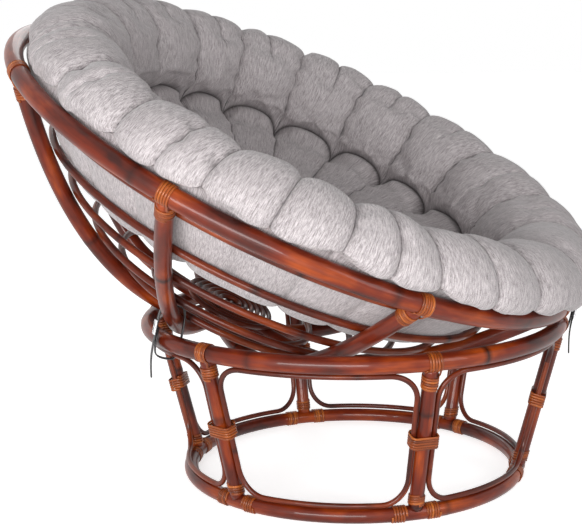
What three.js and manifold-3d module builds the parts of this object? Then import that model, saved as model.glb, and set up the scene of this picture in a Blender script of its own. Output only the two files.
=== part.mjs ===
// A papasan chair: a rattan bowl with a tufted round cushion, laid tilted on a ring-shaped rattan base.
// Millimetres, +Z up, the open front of the bowl towards +X. The origin is on the floor, under the middle
// of the chair's outline.
import * as THREE from 'three';
import { mergeVertices } from 'three/addons/utils/BufferGeometryUtils.js';
import Module from 'manifold-3d';

const wasm = await Module();
wasm.setup();

const DEGREE = Math.PI / 180;
const FULL_TURN = 2 * Math.PI;

// Clearance between two pieces that touch
const TOUCH = 0.3;

// Base: two poles bent to rings, six legs between them and one cane loop in each bay
const TOP_RING_RADIUS = 366;
const TOP_POLE = 30;
const FLOOR_RING_RADIUS = 297;
const FLOOR_POLE = 26;
const BASE_RISE = 267.4;
const LEG_COUNT = 6;
const LEG_POLE = 25;
const LEG_TURN = 8 * DEGREE;
const WINDOW_CANE = 9.5;
const WINDOW_CORNER = 45;

// Bowl: a rim, four ribs that cross at the bottom, six hoops inside them and a flat spiral in the middle
const RIM_RADIUS = 532;
const RIM_POLE = 33;
const RIB_COUNT = 4;
const RIB_POLE = 29;
const BOWL_DEPTH = 348;
const BOWL_POWER_SHARE = 2.25;
const CROSSING_RADIUS = 250;
const BOWL_TILT = 27 * DEGREE;
const HOOP_CANE = 13;
const HOOP_SHARES = [0.94, 0.827, 0.714, 0.5865, 0.451, 0.3008];
const RIB_STEP_SHARES = [0.8835, 0.7705, 0.376, 0.24, 0.16, 0.08];
const ROSETTE_CANE = 10;
const ROSETTE_SPACE = 2;
const ROSETTE_EYE = 16;
const ROSETTE_TURNS = 6;

// Lapping: split cane wound round the joints
const LAP_WIDTH = 3.8;
const LAP_THICKNESS = 2;
const LAP_SPACE = 0.8;
const CROSSING_LIFT = 0.6;
const RIM_EXIT_SHARE = 0.5;
const SADDLE_TURNS = 4;
const RIB_BINDING_TURNS = 3;
const LEG_BINDING_TURNS = 3;
const MIDDLE_TURNS = 4;
const BINDING_SPACE = 3;
const FOOT_LAP_REACH = 44;
const FOOT_LAP_HEIGHT = 16;

// Cushion: one round tufted pad
const CREST_RADIUS = 460;
const CREST_HEIGHT = 105;
const CUSHION_RADIUS = 556;
const BULGE_HEIGHT = 50;
const WELL_DEPTH = 112;
const TUFT_RADIUS = 300;
const TUFT_DEPTH = 48;
const PUFF_COUNT = 18;
const PUFF_TURN = 17 * DEGREE;
const CREASE_DEPTH = 24;
const CUSHION_PLAY = 3;

// Outline of the cushion's top: shares of the way from tuft to crest, and from crest to outer edge,
// each with the share of the crest's height that it has there
const WELL_EDGE_SHARES = [0.6, 0.5];
const BOLSTER_SHARES = [[0.26, 0.3], [0.6, 0.8]];
const LIP_SHARES = [0.55, 0.84];
const BULGE_SEWN_SHARE = 0.8;
const WELL_SEWN_SHARE = 0.5;

// Outline of its underside, as shares of the rim's radius: down the hoops, and then across the bowl,
// each with the share of the belly's sag. The sag is a share of the room down to the ribs' crossing
const SEAT_SHARES = [0.94, 0.827, 0.78];
const BELLY_SHARES = [[0.66, 0.47], [0.42, 0.89]];
const BELLY_SAG_SHARE = 0.232;

// Straps: two leather belts that tie the bowl to the top ring
const STRAP_WIDTH = 14;
const STRAP_THICKNESS = 2.4;
const STRAP_LAP = 0.6;
const STRAP_SLACK = 1;
const STRAP_TAIL = 42;
const REAR_STRAP_RADIUS = 276;
const FRONT_STRAP_REACH = 31;
const BUCKLE_LENGTH = 24;
const BUCKLE_WIDTH = 21;
const BUCKLE_BAR = 3;

// Facets of the round pieces
const POLE_SIDES = 8;
const CANE_SIDES = 5;
const WINDOW_SIDES = 6;
const BASE_SEGMENTS = 8 * LEG_COUNT;
const RIM_SEGMENTS = 12 * RIB_COUNT;
const HOOP_SEGMENTS = 6 * RIB_COUNT;
const WINDOW_CORNER_STEPS = 3;
const WINDOW_RUN_STEPS = 5;
const LAP_STEPS = 8;
const ROSETTE_STEPS = 16;
const PUFF_STEPS = 4;

const topPoleRadius = TOP_POLE / 2;
const floorPoleRadius = FLOOR_POLE / 2;
const legRadius = LEG_POLE / 2;
const windowCaneRadius = WINDOW_CANE / 2;
const rimPoleRadius = RIM_POLE / 2;
const ribRadius = RIB_POLE / 2;
const hoopCaneRadius = HOOP_CANE / 2;
const lapPitch = LAP_WIDTH + LAP_SPACE;
const lapHeight = TOUCH + LAP_THICKNESS;

// The floor ring's facets leave it flat underneath, so it stands on the floor at z = 0
const floorRingHeight = floorPoleRadius * Math.cos(Math.PI / POLE_SIDES);
const topRingHeight = floorRingHeight + BASE_RISE;

const lacquer = { color: 0x7d2c14, roughness: 0.28, metalness: 0 };
const caneLacquer = { color: 0x6b2813, roughness: 0.32, metalness: 0 };
const lapping = { color: 0xa9572b, roughness: 0.4, metalness: 0 };
const heather = { color: 0xa9a6a7, roughness: 0.95, metalness: 0 };
const leather = { color: 0x1d1a1a, roughness: 0.55, metalness: 0 };
const nickel = { color: 0xb9bcc0, roughness: 0.25, metalness: 1 };

const chair = new THREE.Group();
const base = new THREE.Group();
const bowl = new THREE.Group();
chair.add(base, bowl);

function addPiece(group, name, geometry, look) {
  const piece = new THREE.Mesh(geometry, new THREE.MeshStandardMaterial(look));
  piece.name = name;
  group.add(piece);
  return piece;
}

// Points of a round section, as [outward, sideways] offsets from the centre line
function roundSection(radius, sides, turn = 0) {
  return Array.from({ length: sides }, (_, i) => {
    const angle = turn + (FULL_TURN * i) / sides;
    return [radius * Math.cos(angle), radius * Math.sin(angle)];
  });
}

// Split cane is flat inside and domed outside
const lapSection = [
  [LAP_THICKNESS / 2, 0],
  [-LAP_THICKNESS / 2, LAP_WIDTH / 2],
  [-LAP_THICKNESS / 2, -LAP_WIDTH / 2],
];

// Sweeps a section along a path. Each stop has a point and the outward direction there.
function sweep(stops, section, closed = false) {
  const count = stops.length;
  const sides = section.length;
  const positions = [];
  stops.forEach((stop, i) => {
    const before = stops[closed ? (i + count - 1) % count : Math.max(i - 1, 0)].point;
    const after = stops[closed ? (i + 1) % count : Math.min(i + 1, count - 1)].point;
    const into = stop.point.clone().sub(before).normalize();
    const outOf = after.clone().sub(stop.point).normalize();
    const along = into.add(outOf).normalize();
    const outward = stop.outward.clone().addScaledVector(along, -along.dot(stop.outward)).normalize();
    const sideways = along.clone().cross(outward);
    for (const [out, side] of section) {
      const corner = stop.point.clone().addScaledVector(outward, out).addScaledVector(sideways, side);
      positions.push(corner.x, corner.y, corner.z);
    }
  });
  const faces = [];
  const rings = closed ? count : count - 1;
  for (let i = 0; i < rings; i += 1) {
    for (let j = 0; j < sides; j += 1) {
      const a = i * sides + j;
      const b = i * sides + ((j + 1) % sides);
      const c = ((i + 1) % count) * sides + ((j + 1) % sides);
      const d = ((i + 1) % count) * sides + j;
      faces.push(a, b, c, a, c, d);
    }
  }
  if (!closed) {
    const last = (count - 1) * sides;
    for (let j = 1; j < sides - 1; j += 1) {
      faces.push(0, j + 1, j, last, last + j, last + j + 1);
    }
  }
  const geometry = new THREE.BufferGeometry();
  geometry.setAttribute('position', new THREE.Float32BufferAttribute(positions, 3));
  geometry.setIndex(faces);
  return geometry;
}

// A pole bent to a ring, flat in the XY plane, with a facet's middle at the given turn
function bentRing(radius, section, segments, turn, height) {
  const up = new THREE.Vector3(0, 0, 1);
  const stops = Array.from({ length: segments }, (_, i) => {
    const angle = turn + (FULL_TURN * (i + 0.5)) / segments;
    return { point: around(radius, angle, height), outward: up };
  });
  return sweep(stops, section, true);
}

function around(radius, angle, height) {
  return new THREE.Vector3(radius * Math.cos(angle), radius * Math.sin(angle), height);
}

// A straight pole between two points
function straightPole(from, to, radius, sides = POLE_SIDES) {
  const outward = new THREE.Vector3(0, 0, 1);
  const along = to.clone().sub(from).normalize();
  if (Math.abs(along.z) > 0.9) {
    outward.set(from.x, from.y, 0).normalize();
  }
  return sweep([{ point: from, outward }, { point: to, outward }], roundSection(radius, sides));
}

function toSolid(geometry) {
  const bare = geometry.clone();
  bare.deleteAttribute('normal');
  bare.deleteAttribute('uv');
  const merged = mergeVertices(bare);
  return new wasm.Manifold(new wasm.Mesh({
    numProp: 3,
    vertProperties: Float32Array.from(merged.attributes.position.array),
    triVerts: Uint32Array.from(merged.index.array),
  }));
}

function fromSolid(solid) {
  const mesh = solid.getMesh();
  const geometry = new THREE.BufferGeometry();
  geometry.setAttribute('position', new THREE.BufferAttribute(mesh.vertProperties, 3));
  geometry.setIndex(new THREE.BufferAttribute(mesh.triVerts, 1));
  return geometry;
}

// The turns of a lap round a pole. The frame has the pole's axis and two directions across it.
function lapTurns({ centre, axis, right, front }, reach, start, from, steps, way) {
  return Array.from({ length: steps + 1 }, (_, i) => {
    const angle = from + (way * FULL_TURN * i) / LAP_STEPS;
    const outward = right.clone().multiplyScalar(Math.cos(angle)).addScaledVector(front, Math.sin(angle));
    const point = centre.clone().addScaledVector(axis, start + (lapPitch * i) / LAP_STEPS);
    point.addScaledVector(outward, reach + TOUCH + LAP_THICKNESS / 2);
    return { point, outward };
  });
}

// One strand that goes over a bent pole and then round the pole that joins it from below.
// The joint has the bent pole's centre, its tangent and outward direction, and the joining pole's way.
// The strand leaves the bent pole a share of a step further round.
function jointLap(joint, bentReach, joinReach, bindingTurns, exitShare) {
  const { centre, tangent, outward, joining } = joint;
  const up = outward.clone().cross(tangent);
  const saddle = lapTurns(
    { centre, axis: tangent, right: outward, front: up },
    bentReach,
    (-lapPitch * SADDLE_TURNS) / 2,
    -FULL_TURN / 8,
    SADDLE_TURNS * LAP_STEPS + 1,
    -1,
  );
  const beyond = saddle.pop();
  if (exitShare > 0) {
    const leave = saddle[saddle.length - 1];
    const point = leave.point.clone().lerp(beyond.point, exitShare);
    saddle.push({ point, outward: leave.outward.clone().lerp(beyond.outward, exitShare) });
  }
  const outer = joining.clone().cross(tangent);
  const binding = lapTurns(
    { centre, axis: joining, right: outer, front: tangent },
    joinReach,
    bentReach + lapHeight + BINDING_SPACE + LAP_WIDTH / 2,
    FULL_TURN / 8,
    bindingTurns * LAP_STEPS,
    1,
  );
  const crossing = [saddle[saddle.length - 1], binding[0]];
  for (const stop of crossing) {
    stop.point.addScaledVector(stop.outward, CROSSING_LIFT);
  }
  return [...saddle, ...binding];
}

// The least distance between two stretches of one strand that are at least half a turn apart
function leastSelfGap(stops) {
  const halfTurn = Math.ceil(LAP_STEPS / 2);
  const samples = [];
  stops.slice(0, -1).forEach((stop, i) => {
    for (const share of [0, 0.5]) {
      samples.push({ place: i + share, point: stop.point.clone().lerp(stops[i + 1].point, share) });
    }
  });
  let least = Infinity;
  for (const one of samples) {
    for (const other of samples) {
      if (other.place - one.place >= halfTurn) {
        least = Math.min(least, one.point.distanceTo(other.point));
      }
    }
  }
  return least;
}

// Base

function legAxis(index) {
  const angle = LEG_TURN + (FULL_TURN * index) / LEG_COUNT;
  const topRadius = TOP_RING_RADIUS * Math.cos(Math.PI / BASE_SEGMENTS);
  const floorRadius = FLOOR_RING_RADIUS * Math.cos(Math.PI / BASE_SEGMENTS);
  const top = around(topRadius, angle, topRingHeight);
  const foot = around(floorRadius, angle, floorRingHeight);
  const outward = around(1, angle, 0);
  const tangent = around(1, angle + FULL_TURN / 4, 0);
  return { angle, top, foot, outward, tangent, down: foot.clone().sub(top).normalize() };
}

// Distance of the leg's centre line from the chair's upright axis at a height
function legRadiusAt(height) {
  const share = (height - floorRingHeight) / BASE_RISE;
  return FLOOR_RING_RADIUS + (TOP_RING_RADIUS - FLOOR_RING_RADIUS) * share;
}

function buildRings() {
  const topSection = roundSection(topPoleRadius, POLE_SIDES);
  const floorSection = roundSection(floorPoleRadius, POLE_SIDES, Math.PI / POLE_SIDES);
  const top = bentRing(TOP_RING_RADIUS, topSection, BASE_SEGMENTS, LEG_TURN, topRingHeight);
  const floor = bentRing(FLOOR_RING_RADIUS, floorSection, BASE_SEGMENTS, LEG_TURN, floorRingHeight);
  addPiece(base, 'base_top_ring', top, lacquer);
  addPiece(base, 'base_floor_ring', floor, lacquer);
}

// A leg is scooped at both ends to sit against the rings
function buildLeg(index) {
  const leg = legAxis(index);
  const scoopLength = leg.tangent.clone().multiplyScalar(LEG_POLE);
  const scoop = (centre, radius) => toSolid(straightPole(
    centre.clone().sub(scoopLength),
    centre.clone().add(scoopLength),
    radius,
    2 * POLE_SIDES,
  ));
  const pole = toSolid(straightPole(leg.foot, leg.top, legRadius));
  const scooped = pole
    .subtract(scoop(leg.top, topPoleRadius + lapHeight + TOUCH))
    .subtract(scoop(leg.foot, floorPoleRadius + TOUCH));
  addPiece(base, `base_leg_${index + 1}`, fromSolid(scooped), lacquer);
}

// A loop of thin cane that lines the bay between two legs, with round corners
function buildWindowLoop(index) {
  const middle = LEG_TURN + (FULL_TURN * (index + 0.5)) / LEG_COUNT;
  const topHeight = topRingHeight - topPoleRadius - windowCaneRadius - TOUCH;
  const lowHeight = floorRingHeight + floorPoleRadius + windowCaneRadius + TOUCH;
  const sideReach = legRadius + windowCaneRadius + TOUCH;
  const halfAngle = (height) => FULL_TURN / LEG_COUNT / 2 - Math.asin(sideReach / legRadiusAt(height));
  const halfWidth = legRadiusAt((topHeight + lowHeight) / 2) * halfAngle((topHeight + lowHeight) / 2);
  const outline = [];
  const corners = [[1, 1, 0], [-1, 1, 1], [-1, -1, 2], [1, -1, 3]];
  for (const [side, level, quarter] of corners) {
    const x = side * (halfWidth - WINDOW_CORNER);
    const z = level > 0 ? topHeight - WINDOW_CORNER : lowHeight + WINDOW_CORNER;
    for (let i = 0; i <= WINDOW_CORNER_STEPS; i += 1) {
      const angle = (quarter + i / WINDOW_CORNER_STEPS) * (FULL_TURN / 4);
      outline.push([x + WINDOW_CORNER * Math.cos(angle), z + WINDOW_CORNER * Math.sin(angle)]);
    }
    if (quarter % 2 === 0) {
      const height = level > 0 ? topHeight : lowHeight;
      for (let i = 1; i < WINDOW_RUN_STEPS; i += 1) {
        outline.push([x - side * ((2 * (halfWidth - WINDOW_CORNER) * i) / WINDOW_RUN_STEPS), height]);
      }
    }
  }
  const stops = outline.map(([x, z]) => {
    const angle = middle + (x / halfWidth) * halfAngle(z);
    return { point: around(legRadiusAt(z), angle, z), outward: around(1, angle, 0) };
  });
  const loop = sweep(stops, roundSection(windowCaneRadius, WINDOW_SIDES, Math.PI / WINDOW_SIDES), true);
  addPiece(base, `base_window_loop_${index + 1}`, loop, caneLacquer);
}

function buildLegTopLap(index) {
  const leg = legAxis(index);
  const joint = { centre: leg.top, tangent: leg.tangent, outward: leg.outward, joining: leg.down };
  const strand = jointLap(joint, topPoleRadius, legRadius, LEG_BINDING_TURNS, 0);
  addPiece(base, `base_leg_top_lapping_${index + 1}`, sweep(strand, lapSection), lapping);
  return strand;
}

// Flat turns round a leg and the window canes on its two sides
function buildMiddleLap(index) {
  const leg = legAxis(index);
  const reach = TOUCH + LAP_THICKNESS / 2;
  const across = legRadius + TOUCH + WINDOW_CANE + 2 * reach;
  const deep = legRadius + reach;
  const corner = across + deep - (across - reach) * Math.SQRT1_2 - legRadius;
  const outline = [
    [across, deep - corner], [across - corner, deep], [corner - across, deep], [-across, deep - corner],
    [-across, corner - deep], [corner - across, -deep], [across - corner, -deep], [across, corner - deep],
  ];
  const centre = leg.top.clone().lerp(leg.foot, 0.5);
  const outer = leg.tangent.clone().cross(leg.down);
  const strand = Array.from({ length: MIDDLE_TURNS * outline.length + 1 }, (_, i) => {
    const [side, out] = outline[i % outline.length];
    const outward = leg.tangent.clone().multiplyScalar(side).addScaledVector(outer, out);
    const drop = lapPitch * (i / outline.length - MIDDLE_TURNS / 2);
    const point = centre.clone().add(outward).addScaledVector(leg.down, drop);
    return { point, outward };
  });
  addPiece(base, `base_leg_middle_lapping_${index + 1}`, sweep(strand, lapSection), lapping);
  return strand;
}

// The foot's lapping is a plain skin round the floor ring and the leg's foot, flush with the floor
function buildFootLap(index) {
  const leg = legAxis(index);
  const facet = FULL_TURN / BASE_SEGMENTS;
  const edge = FLOOR_RING_RADIUS;
  const reachAngle = FOOT_LAP_REACH / FLOOR_RING_RADIUS;
  const endRadius = (edge * Math.cos(facet / 2)) / Math.cos(reachAngle - facet);
  const up = new THREE.Vector3(0, 0, 1);
  const places = [[-reachAngle, endRadius], [-facet / 2, edge], [facet / 2, edge], [reachAngle, endRadius]];
  const stops = places.map(([turn, radius]) => (
    { point: around(radius, leg.angle + turn, floorRingHeight), outward: up }));
  const turn = Math.PI / POLE_SIDES;
  const skin = toSolid(sweep(stops, roundSection(floorPoleRadius + lapHeight, POLE_SIDES, turn)));
  const grownRing = toSolid(bentRing(
    FLOOR_RING_RADIUS,
    roundSection(floorPoleRadius + TOUCH, POLE_SIDES, turn),
    BASE_SEGMENTS,
    LEG_TURN,
    floorRingHeight,
  ));
  const rise = floorPoleRadius + lapHeight + FOOT_LAP_HEIGHT;
  const collarTop = leg.foot.clone().addScaledVector(leg.down, -rise);
  const collar = toSolid(straightPole(leg.foot, collarTop, legRadius + lapHeight));
  const grownLeg = toSolid(straightPole(leg.foot, leg.top, legRadius + TOUCH));
  const under = new THREE.BoxGeometry(2 * TOP_RING_RADIUS, 2 * TOP_RING_RADIUS, 2 * FLOOR_POLE);
  under.translate(leg.foot.x, leg.foot.y, -FLOOR_POLE);
  const lap = skin.add(collar).subtract(grownRing).subtract(grownLeg).subtract(toSolid(under));
  addPiece(base, `base_foot_lapping_${index + 1}`, fromSolid(lap), lapping);
}

// Bowl, in its own frame: the rim's plane is z = 0 and the bowl hangs below it

function outerDepth(radius) {
  return BOWL_DEPTH * (1 - (radius / RIM_RADIUS) ** BOWL_POWER_SHARE);
}

// The inner pair of ribs passes over the outer pair, so its middle is flattened
const crossingDepth = BOWL_DEPTH - RIB_POLE - TOUCH;
const crossingDrop = crossingDepth - outerDepth(CROSSING_RADIUS);
const crossingSlope = BOWL_DEPTH * BOWL_POWER_SHARE * (CROSSING_RADIUS / RIM_RADIUS) ** BOWL_POWER_SHARE;
const crossingPower = crossingSlope / crossingDrop;

function innerDepth(radius) {
  if (radius >= CROSSING_RADIUS) {
    return outerDepth(radius);
  }
  return crossingDepth - crossingDrop * (radius / CROSSING_RADIUS) ** crossingPower;
}

// A point at a distance inside the ribs' centre line, square to it, as [radius, height]
function insideRibs(radius, distance) {
  const step = TOUCH;
  const slope = (innerDepth(radius - step) - innerDepth(radius + step)) / (2 * step);
  const length = Math.hypot(1, slope);
  return [radius - (distance * slope) / length, -innerDepth(radius) + distance / length];
}

const ribShares = [1, ...HOOP_SHARES, ...RIB_STEP_SHARES].sort((a, b) => a - b);
const ribRadii = ribShares.map((share) => share * RIM_RADIUS);
const ribPlaces = [...ribRadii.map((radius) => -radius).reverse(), 0, ...ribRadii];
const rimFacetRadius = RIM_RADIUS * Math.cos(Math.PI / RIM_SEGMENTS);

function ribStops(angle, depthAt) {
  const outward = around(1, angle + FULL_TURN / 4, 0);
  return ribPlaces.map((place) => {
    const radius = Math.min(Math.abs(place), rimFacetRadius);
    const point = around(Math.sign(place) * radius, angle, -depthAt(Math.abs(place)));
    return { point, outward };
  });
}

// A rib stops at the rim's lapping, scooped to its round, and is halved into the rib that it crosses
function buildRib(index) {
  const angle = (Math.PI * index) / RIB_COUNT;
  const inner = index % 2 === 0;
  const depthAt = inner ? innerDepth : outerDepth;
  let solid = toSolid(sweep(ribStops(angle, depthAt), roundSection(ribRadius, POLE_SIDES)));
  for (const end of [angle, angle + Math.PI]) {
    const tangent = around(RIM_POLE, end + FULL_TURN / 4, 0);
    const centre = around(rimFacetRadius, end, 0);
    const scoopRadius = rimPoleRadius + lapHeight + TOUCH;
    const scoopEnds = [centre.clone().sub(tangent), centre.clone().add(tangent)];
    solid = solid.subtract(toSolid(straightPole(...scoopEnds, scoopRadius, 2 * POLE_SIDES)));
  }
  const notch = new THREE.BoxGeometry(RIB_POLE + 2 * TOUCH, 2 * RIB_POLE, RIB_POLE);
  const takesTop = index < 2;
  const middle = -depthAt(0);
  notch.translate(0, 0, middle + (takesTop ? 1 : -1) * ((RIB_POLE - TOUCH) / 2));
  notch.rotateZ(angle);
  solid = solid.subtract(toSolid(notch));
  addPiece(bowl, `bowl_rib_${index + 1}`, fromSolid(solid), lacquer);
}

function buildRim() {
  const section = roundSection(rimPoleRadius, POLE_SIDES);
  addPiece(bowl, 'bowl_rim', bentRing(RIM_RADIUS, section, RIM_SEGMENTS, 0, 0), lacquer);
}

// How far the middle of a hoop's facet lies inside its true round
const hoopSlack = (share) => share * RIM_RADIUS * (1 - Math.cos(Math.PI / HOOP_SEGMENTS));

// A hoop lies inside the ribs, and an edge of its section faces them
function buildHoop(share, index) {
  const [ribPlace, ribHeight] = insideRibs(share * RIM_RADIUS, 0);
  const [radius, height] = insideRibs(share * RIM_RADIUS, ribRadius + hoopCaneRadius + TOUCH);
  const facing = Math.atan2(ribPlace - radius, ribHeight - height);
  const section = roundSection(hoopCaneRadius, CANE_SIDES, facing);
  const hoop = bentRing(radius, section, HOOP_SEGMENTS, Math.PI / HOOP_SEGMENTS, height);
  addPiece(bowl, `bowl_hoop_${index + 1}`, hoop, caneLacquer);
}

const rosettePitch = ROSETTE_CANE + ROSETTE_SPACE;
const rosetteRadius = ROSETTE_EYE + ROSETTE_TURNS * rosettePitch;
const rosetteHeight = ribRadius + ROSETTE_CANE / 2 + TOUCH - innerDepth(rosetteRadius);

// A flat spiral of cane that closes the middle of the bowl
function buildRosette() {
  const up = new THREE.Vector3(0, 0, 1);
  const stops = Array.from({ length: ROSETTE_TURNS * ROSETTE_STEPS + 1 }, (_, i) => {
    const turns = i / ROSETTE_STEPS;
    const radius = ROSETTE_EYE + turns * rosettePitch;
    return { point: around(radius, turns * FULL_TURN, rosetteHeight), outward: up };
  });
  const section = roundSection(ROSETTE_CANE / 2, 4);
  addPiece(bowl, 'bowl_rosette', sweep(stops, section), caneLacquer);
  return stops;
}

function buildRibEndLap(index) {
  const angle = (FULL_TURN * index) / (2 * RIB_COUNT);
  const depthAt = index % 2 === 0 ? innerDepth : outerDepth;
  const next = ribRadii[ribRadii.length - 2];
  const centre = around(rimFacetRadius, angle, 0);
  const below = around(next, angle, -depthAt(next));
  const joint = {
    centre,
    tangent: around(1, angle + FULL_TURN / 4, 0),
    outward: around(1, angle, 0),
    joining: below.sub(centre).normalize(),
  };
  const strand = jointLap(joint, rimPoleRadius, ribRadius, RIB_BINDING_TURNS, RIM_EXIT_SHARE);
  addPiece(bowl, `bowl_rib_end_lapping_${index + 1}`, sweep(strand, lapSection), lapping);
  return strand;
}

// Cushion, in the bowl's frame

// Rows of the cushion from its well over the crest to its underside, as [radius, height, share of the
// crease's depth]. It lies on the upper hoops and spans the bowl's bottom.
function cushionProfile() {
  const seat = ribRadius + hoopCaneRadius * (1 + Math.cos(Math.PI / CANE_SIDES)) + 2 * TOUCH;
  const under = (share) => insideRibs(share * RIM_RADIUS, seat + hoopSlack(share));
  const strapped = rimPoleRadius + STRAP_SLACK + STRAP_THICKNESS;
  const rimClear = strapped / Math.cos(Math.PI / POLE_SIDES) + CUSHION_PLAY;
  const bolster = CREST_RADIUS - TUFT_RADIUS;
  const lip = CUSHION_RADIUS - CREST_RADIUS;
  const seats = SEAT_SHARES.map((share) => [...under(share), 0]);
  const edge = -seats[seats.length - 1][1];
  const sag = BELLY_SAG_SHARE * (innerDepth(0) - edge);
  const rows = [
    [WELL_EDGE_SHARES[0] * TUFT_RADIUS, WELL_EDGE_SHARES[1] * TUFT_DEPTH - WELL_DEPTH, WELL_SEWN_SHARE],
    [TUFT_RADIUS, -TUFT_DEPTH, 1],
    ...BOLSTER_SHARES.map(([out, up]) => [TUFT_RADIUS + out * bolster, up * CREST_HEIGHT, 1]),
    [CREST_RADIUS, CREST_HEIGHT, 1],
    [CREST_RADIUS + LIP_SHARES[0] * lip, LIP_SHARES[1] * CREST_HEIGHT, 1],
    [CUSHION_RADIUS, BULGE_HEIGHT, BULGE_SEWN_SHARE],
    [RIM_RADIUS + rimPoleRadius, rimClear + CUSHION_PLAY, 0],
    [RIM_RADIUS - rimPoleRadius, rimClear, 0],
    [RIM_RADIUS - rimClear, 0, 0],
    ...seats,
    ...BELLY_SHARES.map(([out, down]) => [out * RIM_RADIUS, -edge - down * sag, 0]),
  ];
  return { rows, belly: edge + sag };
}

function buildCushion() {
  const { rows, belly } = cushionProfile();
  const steps = PUFF_COUNT * PUFF_STEPS;
  const middle = [CREST_RADIUS, 0];
  const positions = [0, 0, -WELL_DEPTH];
  for (const [radius, height, sewn] of rows) {
    for (let i = 0; i < steps; i += 1) {
      const swell = Math.sqrt(Math.abs(Math.sin((Math.PI * i) / PUFF_STEPS)));
      const pull = sewn * (1 - swell) * CREASE_DEPTH;
      const length = Math.hypot(radius - middle[0], height - middle[1]);
      const reach = 1 - pull / length;
      const angle = PUFF_TURN + (FULL_TURN * i) / steps;
      const point = around(middle[0] + (radius - middle[0]) * reach, angle, height * reach);
      positions.push(point.x, point.y, point.z);
    }
  }
  positions.push(0, 0, -belly);
  const faces = [];
  const bottom = positions.length / 3 - 1;
  const ringStart = (row) => 1 + row * steps;
  for (let i = 0; i < steps; i += 1) {
    const j = (i + 1) % steps;
    faces.push(0, ringStart(0) + i, ringStart(0) + j);
    faces.push(bottom, ringStart(rows.length - 1) + j, ringStart(rows.length - 1) + i);
    for (let row = 0; row < rows.length - 1; row += 1) {
      const a = ringStart(row) + i;
      const b = ringStart(row + 1) + i;
      const c = ringStart(row + 1) + j;
      const d = ringStart(row) + j;
      faces.push(a, b, c, a, c, d);
    }
  }
  const geometry = new THREE.BufferGeometry();
  geometry.setAttribute('position', new THREE.Float32BufferAttribute(positions, 3));
  geometry.setIndex(faces);
  addPiece(bowl, 'seat_cushion', geometry, heather);
}

// Seat: the bowl is lowered until its front rib and its two back ribs touch the top ring

const tiltAxis = new THREE.Vector3(0, 1, 0);

// A point of the bowl's frame, when the rim's centre is at the given place
function inChair(centre, point) {
  return point.clone().applyAxisAngle(tiltAxis, BOWL_TILT).add(centre);
}

// The reach of a faceted round section in a direction, where its corners start at zero
function facetReach(radius, angle) {
  const step = FULL_TURN / POLE_SIDES;
  const offCorner = Math.abs(angle / step - Math.round(angle / step)) * step;
  return radius * Math.cos(offCorner);
}

// Way from the top ring's centre line to a point, and how far the ring's surface reaches that way
function fromTopRing(point) {
  const facet = FULL_TURN / BASE_SEGMENTS;
  const turn = (Math.atan2(point.y, point.x) - LEG_TURN) / facet;
  const offMiddle = (turn - Math.round(turn)) * facet;
  const ringRadius = (TOP_RING_RADIUS * Math.cos(facet / 2)) / Math.cos(offMiddle);
  const across = Math.hypot(point.x, point.y);
  const away = across - ringRadius;
  const rise = point.z - topRingHeight;
  const way = new THREE.Vector3((away * point.x) / across, (away * point.y) / across, rise);
  return { way, reach: facetReach(topPoleRadius, Math.atan2(rise, away)) };
}

// Places along a strand or pole of the bowl, with the direction of the stretch that each lies on
function along(stops, lift, samples) {
  const points = stops.map((stop) => stop.point.clone().addScaledVector(stop.outward, lift));
  return points.slice(0, -1).flatMap((point, i) => (
    Array.from({ length: samples }, (_, k) => ({
      point: point.clone().lerp(points[i + 1], k / samples),
      direction: points[i + 1].clone().sub(point).normalize(),
      outward: stops[i].outward,
    }))));
}

// Clear space between the top ring and a bare rib
function ribClearance(centre, angle, depthAt) {
  const spaces = along(ribStops(angle, depthAt), 0, 40).map(({ point, direction, outward }) => {
    const { way, reach } = fromTopRing(inChair(centre, point));
    const toRing = way.clone().negate().applyAxisAngle(tiltAxis, -BOWL_TILT);
    const sideways = direction.clone().cross(outward);
    const ribReach = facetReach(ribRadius, Math.atan2(toRing.dot(sideways), toRing.dot(outward)));
    return way.length() - reach - ribReach;
  });
  return Math.min(...spaces) - TOUCH;
}

// Clear space between the top ring and the lapping on the front rib's end
function lapClearance(centre, strand) {
  const spaces = along(strand, LAP_THICKNESS / 2, 4).map(({ point }) => {
    const { way, reach } = fromTopRing(inChair(centre, point));
    return way.length() - reach;
  });
  return Math.min(...spaces) - TOUCH;
}

function seatBowl(frontStrand) {
  const centre = new THREE.Vector3(0, 0, topRingHeight + BOWL_DEPTH);
  const front = () => Math.min(ribClearance(centre, 0, innerDepth), lapClearance(centre, frontStrand));
  const backAngle = Math.PI - Math.PI / RIB_COUNT;
  const back = () => ribClearance(centre, backAngle, outerDepth);
  const shift = TOUCH;
  for (let round = 0; round < 30; round += 1) {
    const here = [front(), back()];
    centre.x += shift;
    const alongX = [(front() - here[0]) / shift, (back() - here[1]) / shift];
    centre.x -= shift;
    centre.z += shift;
    const alongZ = [(front() - here[0]) / shift, (back() - here[1]) / shift];
    centre.z -= shift;
    const scale = alongX[0] * alongZ[1] - alongX[1] * alongZ[0];
    const moveX = (here[1] * alongZ[0] - here[0] * alongZ[1]) / scale;
    const moveZ = (here[0] * alongX[1] - here[1] * alongX[0]) / scale;
    const limit = Math.min(1, BOWL_DEPTH / 8 / Math.hypot(moveX, moveZ));
    centre.x += moveX * limit;
    centre.z += moveZ * limit;
  }
  return centre;
}

// Straps, in the chair's frame

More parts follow.
